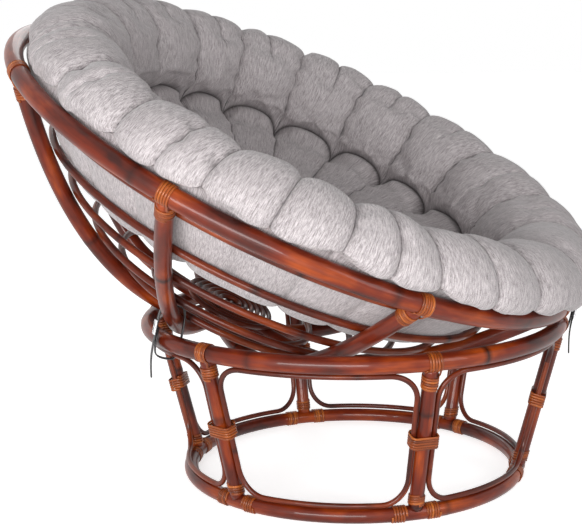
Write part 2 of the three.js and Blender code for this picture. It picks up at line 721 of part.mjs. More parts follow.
// A belt round two poles: it starts behind the buckle, goes round the lower pole and over the upper one,
// laps over its own start and ends in a tail that hangs past the lower pole
function buildStrap(name, low, high) {
  const up = high.point.clone().sub(low.point);
  const rise = up.length();
  up.normalize();
  const facing = Math.sign(low.tangent.dot(high.tangent));
  const run = low.tangent.clone().addScaledVector(high.tangent, facing);
  run.addScaledVector(up, -run.dot(up)).normalize();
  const across = run.clone().cross(up);
  if (across.dot(low.point) > 0) {
    across.negate();
  }
  const skin = STRAP_SLACK + STRAP_THICKNESS / 2;
  const reachOf = (pole, direction) => {
    const slope = Math.abs(pole.tangent.dot(direction) / pole.tangent.dot(run));
    return pole.radius * Math.hypot(1, slope) + (STRAP_WIDTH / 2) * slope + skin;
  };
  const side = Math.max(reachOf(low, across), reachOf(high, across));
  const drop = reachOf(low, up) + low.hung;
  const crown = reachOf(high, up);
  const cut = 1 - Math.tan(Math.PI / 8);
  const lowCut = cut * low.radius;
  const highCut = cut * high.radius;
  const lap = STRAP_THICKNESS + STRAP_LAP;
  const hang = drop + STRAP_TAIL;
  const out = across.clone().negate();
  const stop = (x, z, outward) => ({
    point: low.point.clone().addScaledVector(across, x).addScaledVector(up, z),
    outward,
  });
  const lowOuter = up.clone().negate().addScaledVector(out, 1);
  const lowInner = up.clone().negate().addScaledVector(across, 1);
  const highInner = up.clone().addScaledVector(across, 1);
  const highOuter = up.clone().addScaledVector(out, 1);
  const stops = [
    stop(-side, rise / 2, out),
    stop(-side, lowCut - drop, lowOuter),
    stop(lowCut - side, -drop, lowOuter),
    stop(side - lowCut, -drop, lowInner),
    stop(side, lowCut - drop, lowInner),
    stop(side, rise + crown - highCut, highInner),
    stop(side - highCut, rise + crown, highInner),
    stop(highCut - side, rise + crown, highOuter),
    stop(-side - lap, rise + crown - highCut, highOuter),
    stop(-side - lap, rise / 2, out),
    stop(-side - lap, -hang, out),
  ];
  const band = [
    [STRAP_THICKNESS / 2, -STRAP_WIDTH / 2],
    [STRAP_THICKNESS / 2, STRAP_WIDTH / 2],
    [-STRAP_THICKNESS / 2, STRAP_WIDTH / 2],
    [-STRAP_THICKNESS / 2, -STRAP_WIDTH / 2],
  ];
  addPiece(chair, name, sweep(stops, band), leather);
  const face = side + lap + STRAP_THICKNESS / 2 + TOUCH;
  buildBuckle(`${name}_buckle`, stop(-face, rise / 2, out).point, up, out);
}

// A buckle frame with a bar across its middle, lying on the belt
function buildBuckle(name, centre, up, out) {
  const frame = new THREE.Shape();
  const halfLength = BUCKLE_LENGTH / 2;
  const halfWidth = BUCKLE_WIDTH / 2;
  frame.moveTo(-halfWidth, -halfLength);
  frame.lineTo(halfWidth, -halfLength);
  frame.lineTo(halfWidth, halfLength);
  frame.lineTo(-halfWidth, halfLength);
  for (const side of [-1, 1]) {
    const near = (side * BUCKLE_BAR) / 2;
    const far = side * (halfLength - BUCKLE_BAR);
    const hole = new THREE.Path();
    hole.moveTo(BUCKLE_BAR - halfWidth, near);
    hole.lineTo(halfWidth - BUCKLE_BAR, near);
    hole.lineTo(halfWidth - BUCKLE_BAR, far);
    hole.lineTo(BUCKLE_BAR - halfWidth, far);
    frame.holes.push(hole);
  }
  const geometry = new THREE.ExtrudeGeometry(frame, { depth: BUCKLE_BAR, bevelEnabled: false });
  const buckle = addPiece(chair, name, geometry, nickel);
  buckle.quaternion.setFromRotationMatrix(new THREE.Matrix4().makeBasis(up.clone().cross(out), up, out));
  buckle.position.copy(centre);
}

// A place on a pole's centre line, and the pole's direction there
function placeOn(placeAt, value, step) {
  const tangent = placeAt(value + step).sub(placeAt(value - step)).normalize();
  return { point: placeAt(value), tangent };
}

// The place on a pole's centre line that is nearest to a point
function nearestOn(placeAt, from, to, target) {
  const samples = 400;
  const span = (to - from) / samples;
  let best = from;
  for (let i = 0; i <= samples; i += 1) {
    const value = from + span * i;
    if (placeAt(value).distanceTo(target) < placeAt(best).distanceTo(target)) {
      best = value;
    }
  }
  return placeOn(placeAt, best, span);
}

function buildStraps(centre) {
  const topRing = (angle) => around(TOP_RING_RADIUS, angle, topRingHeight);
  const rim = (angle) => inChair(centre, around(RIM_RADIUS, angle, 0));
  const sideRib = (radius) => inChair(centre, around(radius, -FULL_TURN / 4, -innerDepth(radius)));
  const rearHigh = placeOn(sideRib, REAR_STRAP_RADIUS, TOUCH);
  const rearLow = nearestOn(topRing, -Math.PI, -FULL_TURN / 4, rearHigh.point);
  const hung = WINDOW_CANE + TOUCH + STRAP_SLACK;
  buildStrap(
    'rear_strap',
    { ...rearLow, radius: topPoleRadius, hung },
    { ...rearHigh, radius: ribRadius },
  );
  const frontLow = placeOn(topRing, LEG_TURN + FRONT_STRAP_REACH / TOP_RING_RADIUS, DEGREE);
  const frontHigh = nearestOn(rim, 0, FULL_TURN / 8, frontLow.point);
  buildStrap(
    'front_strap',
    { ...frontLow, radius: topPoleRadius, hung: 0 },
    { ...frontHigh, radius: rimPoleRadius },
  );
}

function report(name, strands, thickness) {
  const least = Math.min(...strands.map(leastSelfGap)) - thickness;
  console.log(`${name}: least gap to itself ${least.toFixed(2)} mm`);
}

buildRings();
const legs = Array.from({ length: LEG_COUNT }, (_, i) => i);
legs.forEach(buildLeg);
legs.forEach(buildWindowLoop);
report('leg top lapping', legs.map(buildLegTopLap), LAP_WIDTH);
report('leg middle lapping', legs.map(buildMiddleLap), LAP_WIDTH);
legs.forEach(buildFootLap);

buildRim();
const ribs = Array.from({ length: RIB_COUNT }, (_, i) => i);
ribs.forEach(buildRib);
HOOP_SHARES.forEach(buildHoop);
report('rosette', [buildRosette()], ROSETTE_CANE);
const ribEndStrands = [...ribs, ...ribs.map((i) => i + RIB_COUNT)].map(buildRibEndLap);
report('rib end lapping', ribEndStrands, LAP_WIDTH);
buildCushion();

const rimCentre = seatBowl(ribEndStrands[0]);
bowl.position.copy(rimCentre);
bowl.rotation.y = BOWL_TILT;
buildStraps(rimCentre);

const outline = new THREE.Box3().setFromObject(chair, true);
const middle = outline.getCenter(new THREE.Vector3());
chair.position.set(-middle.x, -middle.y, 0);
console.log(`base axis at ${(-middle.x).toFixed(2)}, ${(-middle.y).toFixed(2)}`);
console.log(`rim centre ${rimCentre.x.toFixed(2)}, ${rimCentre.z.toFixed(2)} from the base axis`);

export default chair;
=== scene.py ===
import math

import bpy
import numpy as np
from mathutils import Matrix, Vector


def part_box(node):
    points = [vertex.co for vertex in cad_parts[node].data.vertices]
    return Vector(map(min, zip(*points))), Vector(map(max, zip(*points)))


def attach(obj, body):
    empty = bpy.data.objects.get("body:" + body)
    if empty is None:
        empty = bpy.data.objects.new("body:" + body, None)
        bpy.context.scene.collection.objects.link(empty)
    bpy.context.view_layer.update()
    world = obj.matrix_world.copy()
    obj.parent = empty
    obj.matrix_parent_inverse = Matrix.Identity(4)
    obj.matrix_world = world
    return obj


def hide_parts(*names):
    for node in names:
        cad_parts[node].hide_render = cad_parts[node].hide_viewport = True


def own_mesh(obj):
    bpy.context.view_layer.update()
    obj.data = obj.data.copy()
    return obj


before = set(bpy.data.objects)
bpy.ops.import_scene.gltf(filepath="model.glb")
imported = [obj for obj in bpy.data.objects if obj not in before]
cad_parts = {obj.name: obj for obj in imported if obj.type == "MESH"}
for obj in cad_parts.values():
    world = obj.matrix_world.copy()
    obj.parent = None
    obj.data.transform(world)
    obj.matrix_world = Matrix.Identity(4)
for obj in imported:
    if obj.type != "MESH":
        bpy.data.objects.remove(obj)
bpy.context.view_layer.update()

# Sizes in metres, as the solids have them
TOUCH = 0.0003
TOP_RING_RADIUS = 0.366
TOP_POLE_RADIUS = 0.015
FLOOR_RING_RADIUS = 0.297
FLOOR_POLE_RADIUS = 0.013
LEG_COUNT = 6
LEG_RADIUS = 0.0125
LEG_TURN = math.radians(8)
WINDOW_CANE_RADIUS = 0.00475
WINDOW_CORNER = 0.045
RIM_RADIUS = 0.532
RIM_POLE_RADIUS = 0.0165
RIB_COUNT = 4
RIB_RADIUS = 0.0145
BOWL_DEPTH = 0.348
BOWL_POWER = 2.25
CROSSING_RADIUS = 0.25
BOWL_TILT = math.radians(27)
HOOP_RADIUS = 0.0065
HOOP_SHARES = [0.94, 0.827, 0.714, 0.5865, 0.451, 0.3008]
ROSETTE_RADIUS = 0.005
ROSETTE_PITCH = 0.012
ROSETTE_EYE = 0.016
ROSETTE_TURNS = 6
STRAP_WIDTH = 0.014
STRAP_THICKNESS = 0.0024
STRAP_LAP = 0.0006
STRAP_SLACK = 0.001
STRAP_TAIL = 0.036
TAIL_LEAN = 0.001
REAR_STRAP_RADIUS = 0.276
FRONT_STRAP_REACH = 0.031

# The solids' poles have flat facets, so a round pole of the same fullness is a little thinner
ROUND_SHARE = 0.975

# The rattan's own joints: how wide each shows, and how much the pole swells there
JOINT_WIDTH = 0.004
JOINT_SWELL = 0.035

# Split cane, its windings, and the gaps that they leave beside the pole that joins
LAP_WIDTH = 0.0042
LAP_THICKNESS = 0.0017
LAP_PITCH = 0.0046
LAP_LIFT = 0.0004
LAP_STEPS = 20
LAP_TURNS = 5
JOIN_GAP = 0.003
CROSSING_LIFT = 0.0012
MIDDLE_LAP_CORNER = 0.55
MIDDLE_LAP_STEPS = 20
MIDDLE_LAP_LEAN = 0.6
FOOT_LAP_GAP = 0.005
FOOT_LAP_RISE = 0.004
FOOT_LAP_TURNS = 4

# Where a pole's end goes into the pole that it joins, as a share of that pole's radius
LEG_END_SHARE = 0.7
RIB_END_SHARE = 0.35

# Points along each pole and cane
TOP_RING_STEPS = 240
FLOOR_RING_STEPS = 200
RIM_STEPS = 300
HOOP_STEPS = 200
LEG_STEPS = 40
RIB_STEPS = 150
CORNER_STEPS = 12
STRAIGHT_STEPS = 20
ROSETTE_STEPS = 48

FULL_TURN = 2 * math.pi

random = np.random.default_rng(7)


# Frame: where the base stands and where the bowl lies

def middle_of(node):
    low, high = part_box(node)
    return np.array((low + high) / 2)


base_axis = middle_of("base_top_ring")
top_ring_height = float(base_axis[2])
floor_ring_height = float(middle_of("base_floor_ring")[2])
rim_centre = middle_of("bowl_rim")

bowl_turn = np.array(Matrix.Rotation(BOWL_TILT, 3, "Y"))
bowl_up = bowl_turn @ (0, 0, 1)


def in_row(points):
    """Points of the bowl's own frame, put where the tilted bowl lies."""
    return np.asarray(points, float) @ bowl_turn.T + rim_centre


def way_in_row(vectors):
    return np.asarray(vectors, float) @ bowl_turn.T


def on_base(points):
    """Points about the base's upright axis, put where the base stands."""
    return np.asarray(points, float) + np.array([base_axis[0], base_axis[1], 0])


def around(radius, angle, height=0.0):
    return np.array([radius * math.cos(angle), radius * math.sin(angle), height])


# Meshes

def unit(vectors):
    return vectors / np.linalg.norm(vectors, axis=-1, keepdims=True)


def keep_values(mesh, name, kind, domain, field, values):
    """Values that a material reads, kept on the mesh."""
    mesh.attributes.new(name, kind, domain).data.foreach_set(field, np.asarray(values, np.float32).ravel())


def add_mesh(name, vertices, faces, corners=None, knots=None, smooth=True):
    mesh = bpy.data.meshes.new(name)
    mesh.from_pydata(np.asarray(vertices, float).tolist(), [], faces)
    if corners is not None:
        keep_values(mesh, "grain", "FLOAT_VECTOR", "CORNER", "vector", corners)
    if knots is not None:
        keep_values(mesh, "knot", "FLOAT", "POINT", "value", knots)
    mesh.polygons.foreach_set("use_smooth", [smooth] * len(mesh.polygons))
    mesh.update()
    piece = bpy.data.objects.new(name, mesh)
    bpy.context.scene.collection.objects.link(piece)
    return piece


def round_section(radius, sides):
    angles = FULL_TURN * np.arange(sides) / sides
    return np.stack([radius * np.cos(angles), radius * np.sin(angles)], axis=1)


def lap_section():
    """Split cane: flat inside and domed outside, as (outward, sideways)."""
    rise = np.linspace(math.pi, 0, 6)
    dome = [(LAP_THICKNESS * (0.35 + 0.65 * math.sin(a)), LAP_WIDTH / 2 * math.cos(a)) for a in rise]
    return np.array([(0, -LAP_WIDTH * 0.44)] + dome + [(0, LAP_WIDTH * 0.44)])


def sweep(name, points, outward, section, closed=False, swell=None, knots=None, lowest=None):
    """A section swept along points. Each corner keeps its way along and round the piece, for the grain."""
    points = np.asarray(points, float)
    outward = np.broadcast_to(np.asarray(outward, float), points.shape)
    count = len(points)
    sides = len(section)
    if closed:
        into = points - np.roll(points, 1, axis=0)
        out_of = np.roll(points, -1, axis=0) - points
    else:
        steps = np.diff(points, axis=0)
        into = np.vstack([steps[:1], steps])
        out_of = np.vstack([steps, steps[-1:]])
    along = unit(unit(into) + unit(out_of))
    out = unit(outward - along * np.sum(along * outward, axis=1, keepdims=True))
    side = np.cross(along, out)
    size = np.ones(count) if swell is None else np.asarray(swell, float)
    spread_out = out[:, None, :] * section[None, :, 0, None]
    spread_side = side[:, None, :] * section[None, :, 1, None]
    rings = points[:, None, :] + (spread_out + spread_side) * size[:, None, None]
    vertices = rings.reshape(-1, 3)
    if lowest is not None:
        vertices[:, 2] = np.maximum(vertices[:, 2], lowest)
    lengths = np.linalg.norm(out_of, axis=1)
    way = np.concatenate([[0], np.cumsum(lengths)])
    edges = np.linalg.norm(np.roll(section, -1, axis=0) - section, axis=1)
    girth = np.concatenate([[0], np.cumsum(edges)])
    seed = random.uniform(0, 50)
    faces = []
    corners = []
    for i in range(count if closed else count - 1):
        for j in range(sides):
            k = (j + 1) % sides
            n = (i + 1) % count
            faces.append((i * sides + j, i * sides + k, n * sides + k, n * sides + j))
            near, far = way[i], way[i + 1]
            corners += [(near, girth[j], seed), (near, girth[j + 1], seed),
                        (far, girth[j + 1], seed), (far, girth[j], seed)]
    if not closed:
        last = (count - 1) * sides
        faces.append(tuple(range(sides - 1, -1, -1)))
        faces.append(tuple(range(last, last + sides)))
        corners += [(0, girth[j], seed) for j in range(sides - 1, -1, -1)]
        corners += [(way[count - 1], girth[j], seed) for j in range(sides)]
    knot_values = None if knots is None else np.repeat(knots, sides)
    return add_mesh(name, vertices, faces, corners, knot_values)


def knots_along(length, count, closed, spacing):
    """The rattan's own joints: a faint swelling and a darker line every so often."""
    places = np.linspace(0, length, count, endpoint=not closed)
    marks = np.zeros(count)
    at = random.uniform(0.3, 0.9) * spacing
    while at < length:
        marks += np.exp(-((places - at) / JOINT_WIDTH) ** 2)
        at += spacing * random.uniform(0.75, 1.3)
    return np.minimum(marks, 1)


def pole(name, points, outward, radius, sides=20, closed=False, spacing=0.42, lowest=None):
    length = np.linalg.norm(np.diff(points, axis=0), axis=1).sum()
    knots = knots_along(length, len(points), closed, spacing)
    swell = 1 + JOINT_SWELL * knots
    return sweep(name, points, outward, round_section(radius * ROUND_SHARE, sides), closed, swell, knots, lowest)


def circle(radius, height, count):
    return np.array([around(radius, FULL_TURN * i / count, height) for i in range(count)])


# Materials

def new_material(name):
    material = bpy.data.materials.new(name)
    material.use_nodes = True
    nodes = material.node_tree.nodes
    shader = nodes["Principled BSDF"]
    return material, nodes, material.node_tree.links, shader


def add_node(nodes, kind, **values):
    node = nodes.new(kind)
    for key, value in values.items():
        if key in node.inputs.keys():
            node.inputs[key].default_value = value
        else:
            setattr(node, key, value)
    return node


def set_shader(links, shader, colour, normal, values):
    links.new(colour, shader.inputs["Base Color"])
    links.new(normal, shader.inputs["Normal"])
    for key, value in values.items():
        shader.inputs[key].default_value = value


def attribute(nodes, name, output):
    return add_node(nodes, "ShaderNodeAttribute", attribute_name=name).outputs[output]


def scaled(nodes, links, source, scale):
    node = add_node(nodes, "ShaderNodeVectorMath", operation="MULTIPLY")
    links.new(source, node.inputs[0])
    node.inputs[1].default_value = scale
    return node.outputs["Vector"]


def noise(nodes, links, source, scale, detail, roughness=0.5):
    node = add_node(nodes, "ShaderNodeTexNoise", Scale=scale, Detail=detail, Roughness=roughness)
    links.new(source, node.inputs["Vector"])
    return node.outputs["Fac"]


def ramp(nodes, links, source, stops):
    node = nodes.new("ShaderNodeValToRGB")
    band = node.color_ramp
    while len(band.elements) < len(stops):
        band.elements.new(0.5)
    for element, (place, colour) in zip(band.elements, stops):
        element.position = place
        element.color = (*colour, 1)
    links.new(source, node.inputs["Fac"])
    return node.outputs["Color"]


def mixed(nodes, links, factor, first, second, blend="MIX"):
    node = add_node(nodes, "ShaderNodeMix", data_type="RGBA", blend_type=blend)
    for socket, value in ((node.inputs["Factor"], factor), (node.inputs["A"], first), (node.inputs["B"], second)):
        if isinstance(value, (int, float, tuple)):
            socket.default_value = value
        else:
            links.new(value, socket)
    return node.outputs["Result"]


def bump(nodes, links, height, strength, distance, before=None):
    node = add_node(nodes, "ShaderNodeBump", Strength=strength, Distance=distance)
    links.new(height, node.inputs["Height"])
    if before is not None:
        links.new(before, node.inputs["Normal"])
    return node.outputs["Normal"]


def linear(red, green, blue):
    """A colour as seen on screen, from 0 to 255, as a shader's linear colour."""
    return tuple(((c / 255 + 0.055) / 1.055) ** 2.4 if c > 10 else c / 255 / 12.92 for c in (red, green, blue))


def cane_material(name, dark, middle, light, roughness, coat, coat_roughness, streak=260.0):
    """Lacquered cane: fibres along the pole, cloudy stain and darker joints."""
    material, nodes, links, shader = new_material(name)
    grain = attribute(nodes, "grain", "Vector")
    fibres = noise(nodes, links, scaled(nodes, links, grain, (7.0, streak, 1.0)), 1.0, 4.0, 0.6)
    clouds = noise(nodes, links, scaled(nodes, links, grain, (9.0, 26.0, 1.7)), 1.0, 3.0, 0.55)
    stain = ramp(nodes, links, clouds, [(0.30, dark), (0.52, middle), (0.74, light)])
    lines = ramp(nodes, links, fibres, [(0.32, (0.55, 0.5, 0.5)), (0.6, (1, 1, 1))])
    colour = mixed(nodes, links, 0.55, stain, lines, "MULTIPLY")
    knot = attribute(nodes, "knot", "Fac")
    colour = mixed(nodes, links, knot, colour, (*[c * 0.45 for c in dark], 1))
    set_shader(links, shader, colour, bump(nodes, links, fibres, 0.12, 0.0006),
               {"Roughness": roughness, "Specular IOR Level": 0.2, "Coat Weight": coat,
                "Coat Roughness": coat_roughness})
    return material


def fabric_material():
    """Heathered upholstery cloth: light and dark yarns mixed, painted shade in the creases, a soft sheen."""
    material, nodes, links, shader = new_material("heathered_fabric")
    turned = add_node(nodes, "ShaderNodeVectorRotate", rotation_type="Y_AXIS", Angle=-BOWL_TILT)
    links.new(nodes.new("ShaderNodeTexCoord").outputs["Object"], turned.inputs["Vector"])
    bowl_place = turned.outputs["Vector"]
    weave = attribute(nodes, "weave", "Vector")
    yarns = noise(nodes, links, scaled(nodes, links, weave, (780.0, 780.0, 84.0)), 1.0, 2.0, 0.6)
    weft = noise(nodes, links, scaled(nodes, links, bowl_place, (1100.0, 1100.0, 1500.0)), 1.0, 2.0, 0.7)
    patches = noise(nodes, links, bowl_place, 9.0, 2.0)
    light_yarn = linear(222, 215, 216)
    dark_yarn = linear(103, 95, 97)
    first = ramp(nodes, links, yarns, [(0.32, dark_yarn), (0.5, linear(176, 169, 170)), (0.68, light_yarn)])
    second = ramp(nodes, links, weft, [(0.36, dark_yarn), (0.5, linear(174, 167, 168)), (0.66, light_yarn)])
    colour = mixed(nodes, links, 0.45, first, second)
    cloud = ramp(nodes, links, patches, [(0.3, (0.93, 0.92, 0.92)), (0.7, (1.0, 1.0, 1.0))])
    colour = mixed(nodes, links, 0.7, colour, cloud, "MULTIPLY")
    # Painted shade: towards the bottom of each crease the cloth's colour goes to a near-black grey, standing in
    # for the shade that falls there
    crease = attribute(nodes, "crease", "Fac")
    colour = mixed(nodes, links, crease, colour, (*linear(46, 39, 39), 1))
    fine = bump(nodes, links, yarns, 0.1, 0.0003)
    set_shader(links, shader, colour, bump(nodes, links, weft, 0.25, 0.0003, fine),
               {"Roughness": 0.95, "Specular IOR Level": 0.2, "Sheen Weight": 0.25, "Sheen Roughness": 0.5})
    return material


def leather_material():
    material, nodes, links, shader = new_material("strap_leather")
    place = nodes.new("ShaderNodeTexCoord").outputs["Object"]
    pores = add_node(nodes, "ShaderNodeTexVoronoi", Scale=900.0)
    links.new(place, pores.inputs["Vector"])
    wear = noise(nodes, links, place, 160.0, 4.0)
    colour = ramp(nodes, links, wear, [(0.35, linear(14, 12, 13)), (0.75, linear(42, 38, 39))])
    normal = bump(nodes, links, pores.outputs["Distance"], 0.35, 0.0004)
    set_shader(links, shader, colour, normal, {"Roughness": 0.42})
    return material


def metal_material():
    material, nodes, links, shader = new_material("buckle_metal")
    place = nodes.new("ShaderNodeTexCoord").outputs["Object"]
    scuffs = noise(nodes, links, place, 420.0, 5.0)
    colour = ramp(nodes, links, scuffs, [(0.3, linear(178, 178, 180)), (0.7, linear(222, 222, 224))])
    normal = bump(nodes, links, scuffs, 0.1, 0.0003)
    set_shader(links, shader, colour, normal, {"Metallic": 1.0, "Roughness": 0.22})
    return material


lacquered_pole = cane_material(
    "lacquered_pole", linear(54, 14, 6), linear(110, 34, 8), linear(168, 72, 16), 0.42, 0.28, 0.05)
lacquered_cane = cane_material(
    "lacquered_cane", linear(52, 15, 7), linear(98, 33, 10), linear(144, 62, 19), 0.44, 0.26, 0.08)
split_cane = cane_material(
    "split_cane", linear(96, 40, 12), linear(148, 70, 22), linear(196, 112, 46), 0.4, 0.3, 0.12, 900.0)
heather = fabric_material()
leather = leather_material()
nickel = metal_material()


def finish(piece, material, slot, body, *nodes):
    """Gives a piece its looks and its body, and hides the solids that it stands for."""
    piece.data.materials.append(material)
    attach(piece, body)
    if nodes:
        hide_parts(*nodes)


# Base

def leg_axis(index):
    angle = LEG_TURN + FULL_TURN * index / LEG_COUNT
    top = around(TOP_RING_RADIUS, angle, top_ring_height)
    foot = around(FLOOR_RING_RADIUS, angle, floor_ring_height)
    return {
        "angle": angle,
        "top": top,
        "foot": foot,
        "outward": around(1, angle),
        "tangent": around(1, angle + FULL_TURN / 4),
        "down": unit(foot - top),
    }


def leg_radius_at(height):
    share = (height - floor_ring_height) / (top_ring_height - floor_ring_height)
    return FLOOR_RING_RADIUS + (TOP_RING_RADIUS - FLOOR_RING_RADIUS) * share


def build_rings():
    points = on_base(circle(TOP_RING_RADIUS, top_ring_height, TOP_RING_STEPS))
    top = pole("top_ring", points, (0, 0, 1), TOP_POLE_RADIUS, closed=True, sides=24)
    finish(top, lacquered_pole, "rattan_pole", "base", "base_top_ring")
    points = on_base(circle(FLOOR_RING_RADIUS, floor_ring_height, FLOOR_RING_STEPS))
    low = pole("floor_ring", points, (0, 0, 1), FLOOR_POLE_RADIUS, closed=True, sides=24, lowest=0.0)
    finish(low, lacquered_pole, "rattan_pole", "base", "base_floor_ring")


def build_leg(index):
    leg = leg_axis(index)
    start = leg["top"] + leg["down"] * TOP_POLE_RADIUS * LEG_END_SHARE
    end = leg["foot"] - leg["down"] * FLOOR_POLE_RADIUS * LEG_END_SHARE
    points = on_base([start + (end - start) * share for share in np.linspace(0, 1, LEG_STEPS)])
    piece = pole(f"leg_{index + 1}", points, leg["outward"], LEG_RADIUS, spacing=0.2)
    finish(piece, lacquered_pole, "rattan_pole", "base", f"base_leg_{index + 1}")


def window_outline(index):
    """The loop of cane in one bay, as places on the cone of the legs."""
    centre = LEG_TURN + FULL_TURN * (index + 0.5) / LEG_COUNT
    top = top_ring_height - TOP_POLE_RADIUS - WINDOW_CANE_RADIUS - TOUCH
    low = floor_ring_height + FLOOR_POLE_RADIUS + WINDOW_CANE_RADIUS + TOUCH
    side_reach = LEG_RADIUS + WINDOW_CANE_RADIUS + TOUCH

    def half_angle(height):
        return FULL_TURN / LEG_COUNT / 2 - math.asin(side_reach / leg_radius_at(height))

    mean = (top + low) / 2
    half_width = leg_radius_at(mean) * half_angle(mean)
    outline = []
    for side, level, quarter in ((1, 1, 0), (-1, 1, 1), (-1, -1, 2), (1, -1, 3)):
        x = side * (half_width - WINDOW_CORNER)
        z = top - WINDOW_CORNER if level > 0 else low + WINDOW_CORNER
        for step in range(CORNER_STEPS + 1):
            angle = (quarter + step / CORNER_STEPS) * FULL_TURN / 4
            outline.append((x + WINDOW_CORNER * math.cos(angle), z + WINDOW_CORNER * math.sin(angle)))
        run = 2 * (half_width - WINDOW_CORNER) if quarter % 2 == 0 else top - low - 2 * WINDOW_CORNER
        for step in range(1, STRAIGHT_STEPS):
            if quarter % 2 == 0:
                outline.append((x - side * run * step / STRAIGHT_STEPS, top if level > 0 else low))
            else:
                outline.append((side * half_width, z - level * run * step / STRAIGHT_STEPS))
    places = []
    for x, z in outline:
        angle = centre + (x / half_width) * half_angle(z)
        places.append((around(leg_radius_at(z), angle, z), around(1, angle)))
    return places


def build_window_loop(index):
    places = window_outline(index)
    points = on_base([place for place, _ in places])
    outward = np.array([out for _, out in places])
    piece = pole(f"window_loop_{index + 1}", points, outward, WINDOW_CANE_RADIUS,
                 sides=12, closed=True, spacing=0.3)
    finish(piece, lacquered_cane, "rattan_cane", "base", f"base_window_loop_{index + 1}")


# Windings of split cane

def lap_turns(centre, axis, right, front, reach, start, turn, steps, way):
    """Turns round a pole: places and outward directions."""
    places = []
    for step in range(steps + 1):
        angle = turn + way * FULL_TURN * step / LAP_STEPS
        outward = right * math.cos(angle) + front * math.sin(angle)
        point = centre + axis * (start + LAP_PITCH * step / LAP_STEPS) + outward * (reach + LAP_LIFT)
        places.append((point, outward))
    return places


def joint_lap(centre, tangent, outward, joining, bent_radius, join_radius):
    """One strand over a bent pole, and then round the pole that joins it from below."""
    up = np.cross(outward, tangent)
    bent_reach = bent_radius * ROUND_SHARE
    saddle = lap_turns(centre, tangent, outward, up, bent_reach, -LAP_PITCH * LAP_TURNS / 2,
                       -FULL_TURN / 8, LAP_TURNS * LAP_STEPS + LAP_STEPS // 16, -1)
    outer = np.cross(joining, tangent)
    start = bent_reach + LAP_THICKNESS + JOIN_GAP + LAP_WIDTH / 2
    binding = lap_turns(centre, joining, outer, tangent, join_radius * ROUND_SHARE, start, FULL_TURN / 8,
                        LAP_TURNS * LAP_STEPS, 1)
    last, last_out = saddle[-1]
    first, first_out = binding[0]
    crossing = []
    for share in (0.25, 0.5, 0.75):
        lift = CROSSING_LIFT * math.sin(math.pi * share)
        out = unit(last_out * (1 - share) + first_out * share)
        crossing.append((last * (1 - share) + first * share + out * lift, out))
    return saddle + crossing + binding


def strand(name, places, in_bowl=False, lowest=None):
    points = np.array([place for place, _ in places])
    outward = np.array([out for _, out in places])
    points = in_row(points) if in_bowl else on_base(points)
    outward = way_in_row(outward) if in_bowl else outward
    return sweep(name, points, outward, lap_section(), lowest=lowest)


def build_leg_top_lap(index):
    leg = leg_axis(index)
    places = joint_lap(leg["top"], leg["tangent"], leg["outward"], leg["down"], TOP_POLE_RADIUS, LEG_RADIUS)
    piece = strand(f"leg_top_lapping_{index + 1}", places)
    finish(piece, split_cane, "cane_lapping", "base", f"base_leg_top_lapping_{index + 1}")


def flat_turns(leg, centre, side_reach, deep_reach):
    """Turns round a leg with a window cane on each side of it."""
    outer = np.cross(leg["tangent"], leg["down"])
    corner = deep_reach * MIDDLE_LAP_CORNER
    outline = []
    for step in range(MIDDLE_LAP_STEPS):
        angle = FULL_TURN * (step + 0.5) / MIDDLE_LAP_STEPS
        side = math.copysign(side_reach - corner, math.cos(angle)) + corner * math.cos(angle)
        out = math.copysign(deep_reach - corner, math.sin(angle)) + corner * math.sin(angle)
        outline.append((side, out))
    places = []
    for step in range(LAP_TURNS * MIDDLE_LAP_STEPS + 1):
        side, out = outline[step % MIDDLE_LAP_STEPS]
        outward = leg["tangent"] * side * MIDDLE_LAP_LEAN + outer * out
        drop = LAP_PITCH * (step / MIDDLE_LAP_STEPS - LAP_TURNS / 2)
        places.append((centre + leg["tangent"] * side + outer * out + leg["down"] * drop, unit(outward)))
    return places


def build_middle_lap(index):
    leg = leg_axis(index)
    side_reach = LEG_RADIUS + 2 * WINDOW_CANE_RADIUS + 2 * TOUCH
    places = flat_turns(leg, (leg["top"] + leg["foot"]) / 2, side_reach, LEG_RADIUS * ROUND_SHARE + LAP_LIFT)
    piece = strand(f"leg_middle_lapping_{index + 1}", places)
    finish(piece, split_cane, "cane_lapping", "base", f"base_leg_middle_lapping_{index + 1}")


def build_foot_lap(index):
    """Two windings on the floor ring beside the leg, and one round the leg's foot."""
    leg = leg_axis(index)
    pieces = []
    for side, mark in ((-1, "a"), (1, "b")):
        places = []
        for step in range(LAP_TURNS * LAP_STEPS + 1):
            way = side * (LEG_RADIUS + FOOT_LAP_GAP + LAP_PITCH * step / LAP_STEPS) / FLOOR_RING_RADIUS
            angle = leg["angle"] + way
            out_ring = around(1, angle)
            roll = FULL_TURN * step / LAP_STEPS
            outward = out_ring * math.cos(roll) + np.array([0, 0, 1]) * math.sin(roll)
            centre = around(FLOOR_RING_RADIUS, angle, floor_ring_height)
            places.append((centre + outward * (FLOOR_POLE_RADIUS * ROUND_SHARE + LAP_LIFT), outward))
        pieces.append(strand(f"foot_ring_lapping_{index + 1}_{mark}", places, lowest=0.0))
    start = FLOOR_POLE_RADIUS + FOOT_LAP_RISE
    places = lap_turns(leg["foot"], -leg["down"], leg["outward"], leg["tangent"], LEG_RADIUS * ROUND_SHARE,
                       start, 0, FOOT_LAP_TURNS * LAP_STEPS, 1)
    pieces.append(strand(f"foot_lapping_{index + 1}", places, lowest=0.0))
    for piece in pieces:
        finish(piece, split_cane, "cane_lapping", "base", f"base_foot_lapping_{index + 1}")


# Bowl, in its own frame: the rim's plane is z = 0 and the bowl hangs below it

def outer_depth(radius):
    return BOWL_DEPTH * (1 - (radius / RIM_RADIUS) ** BOWL_POWER)


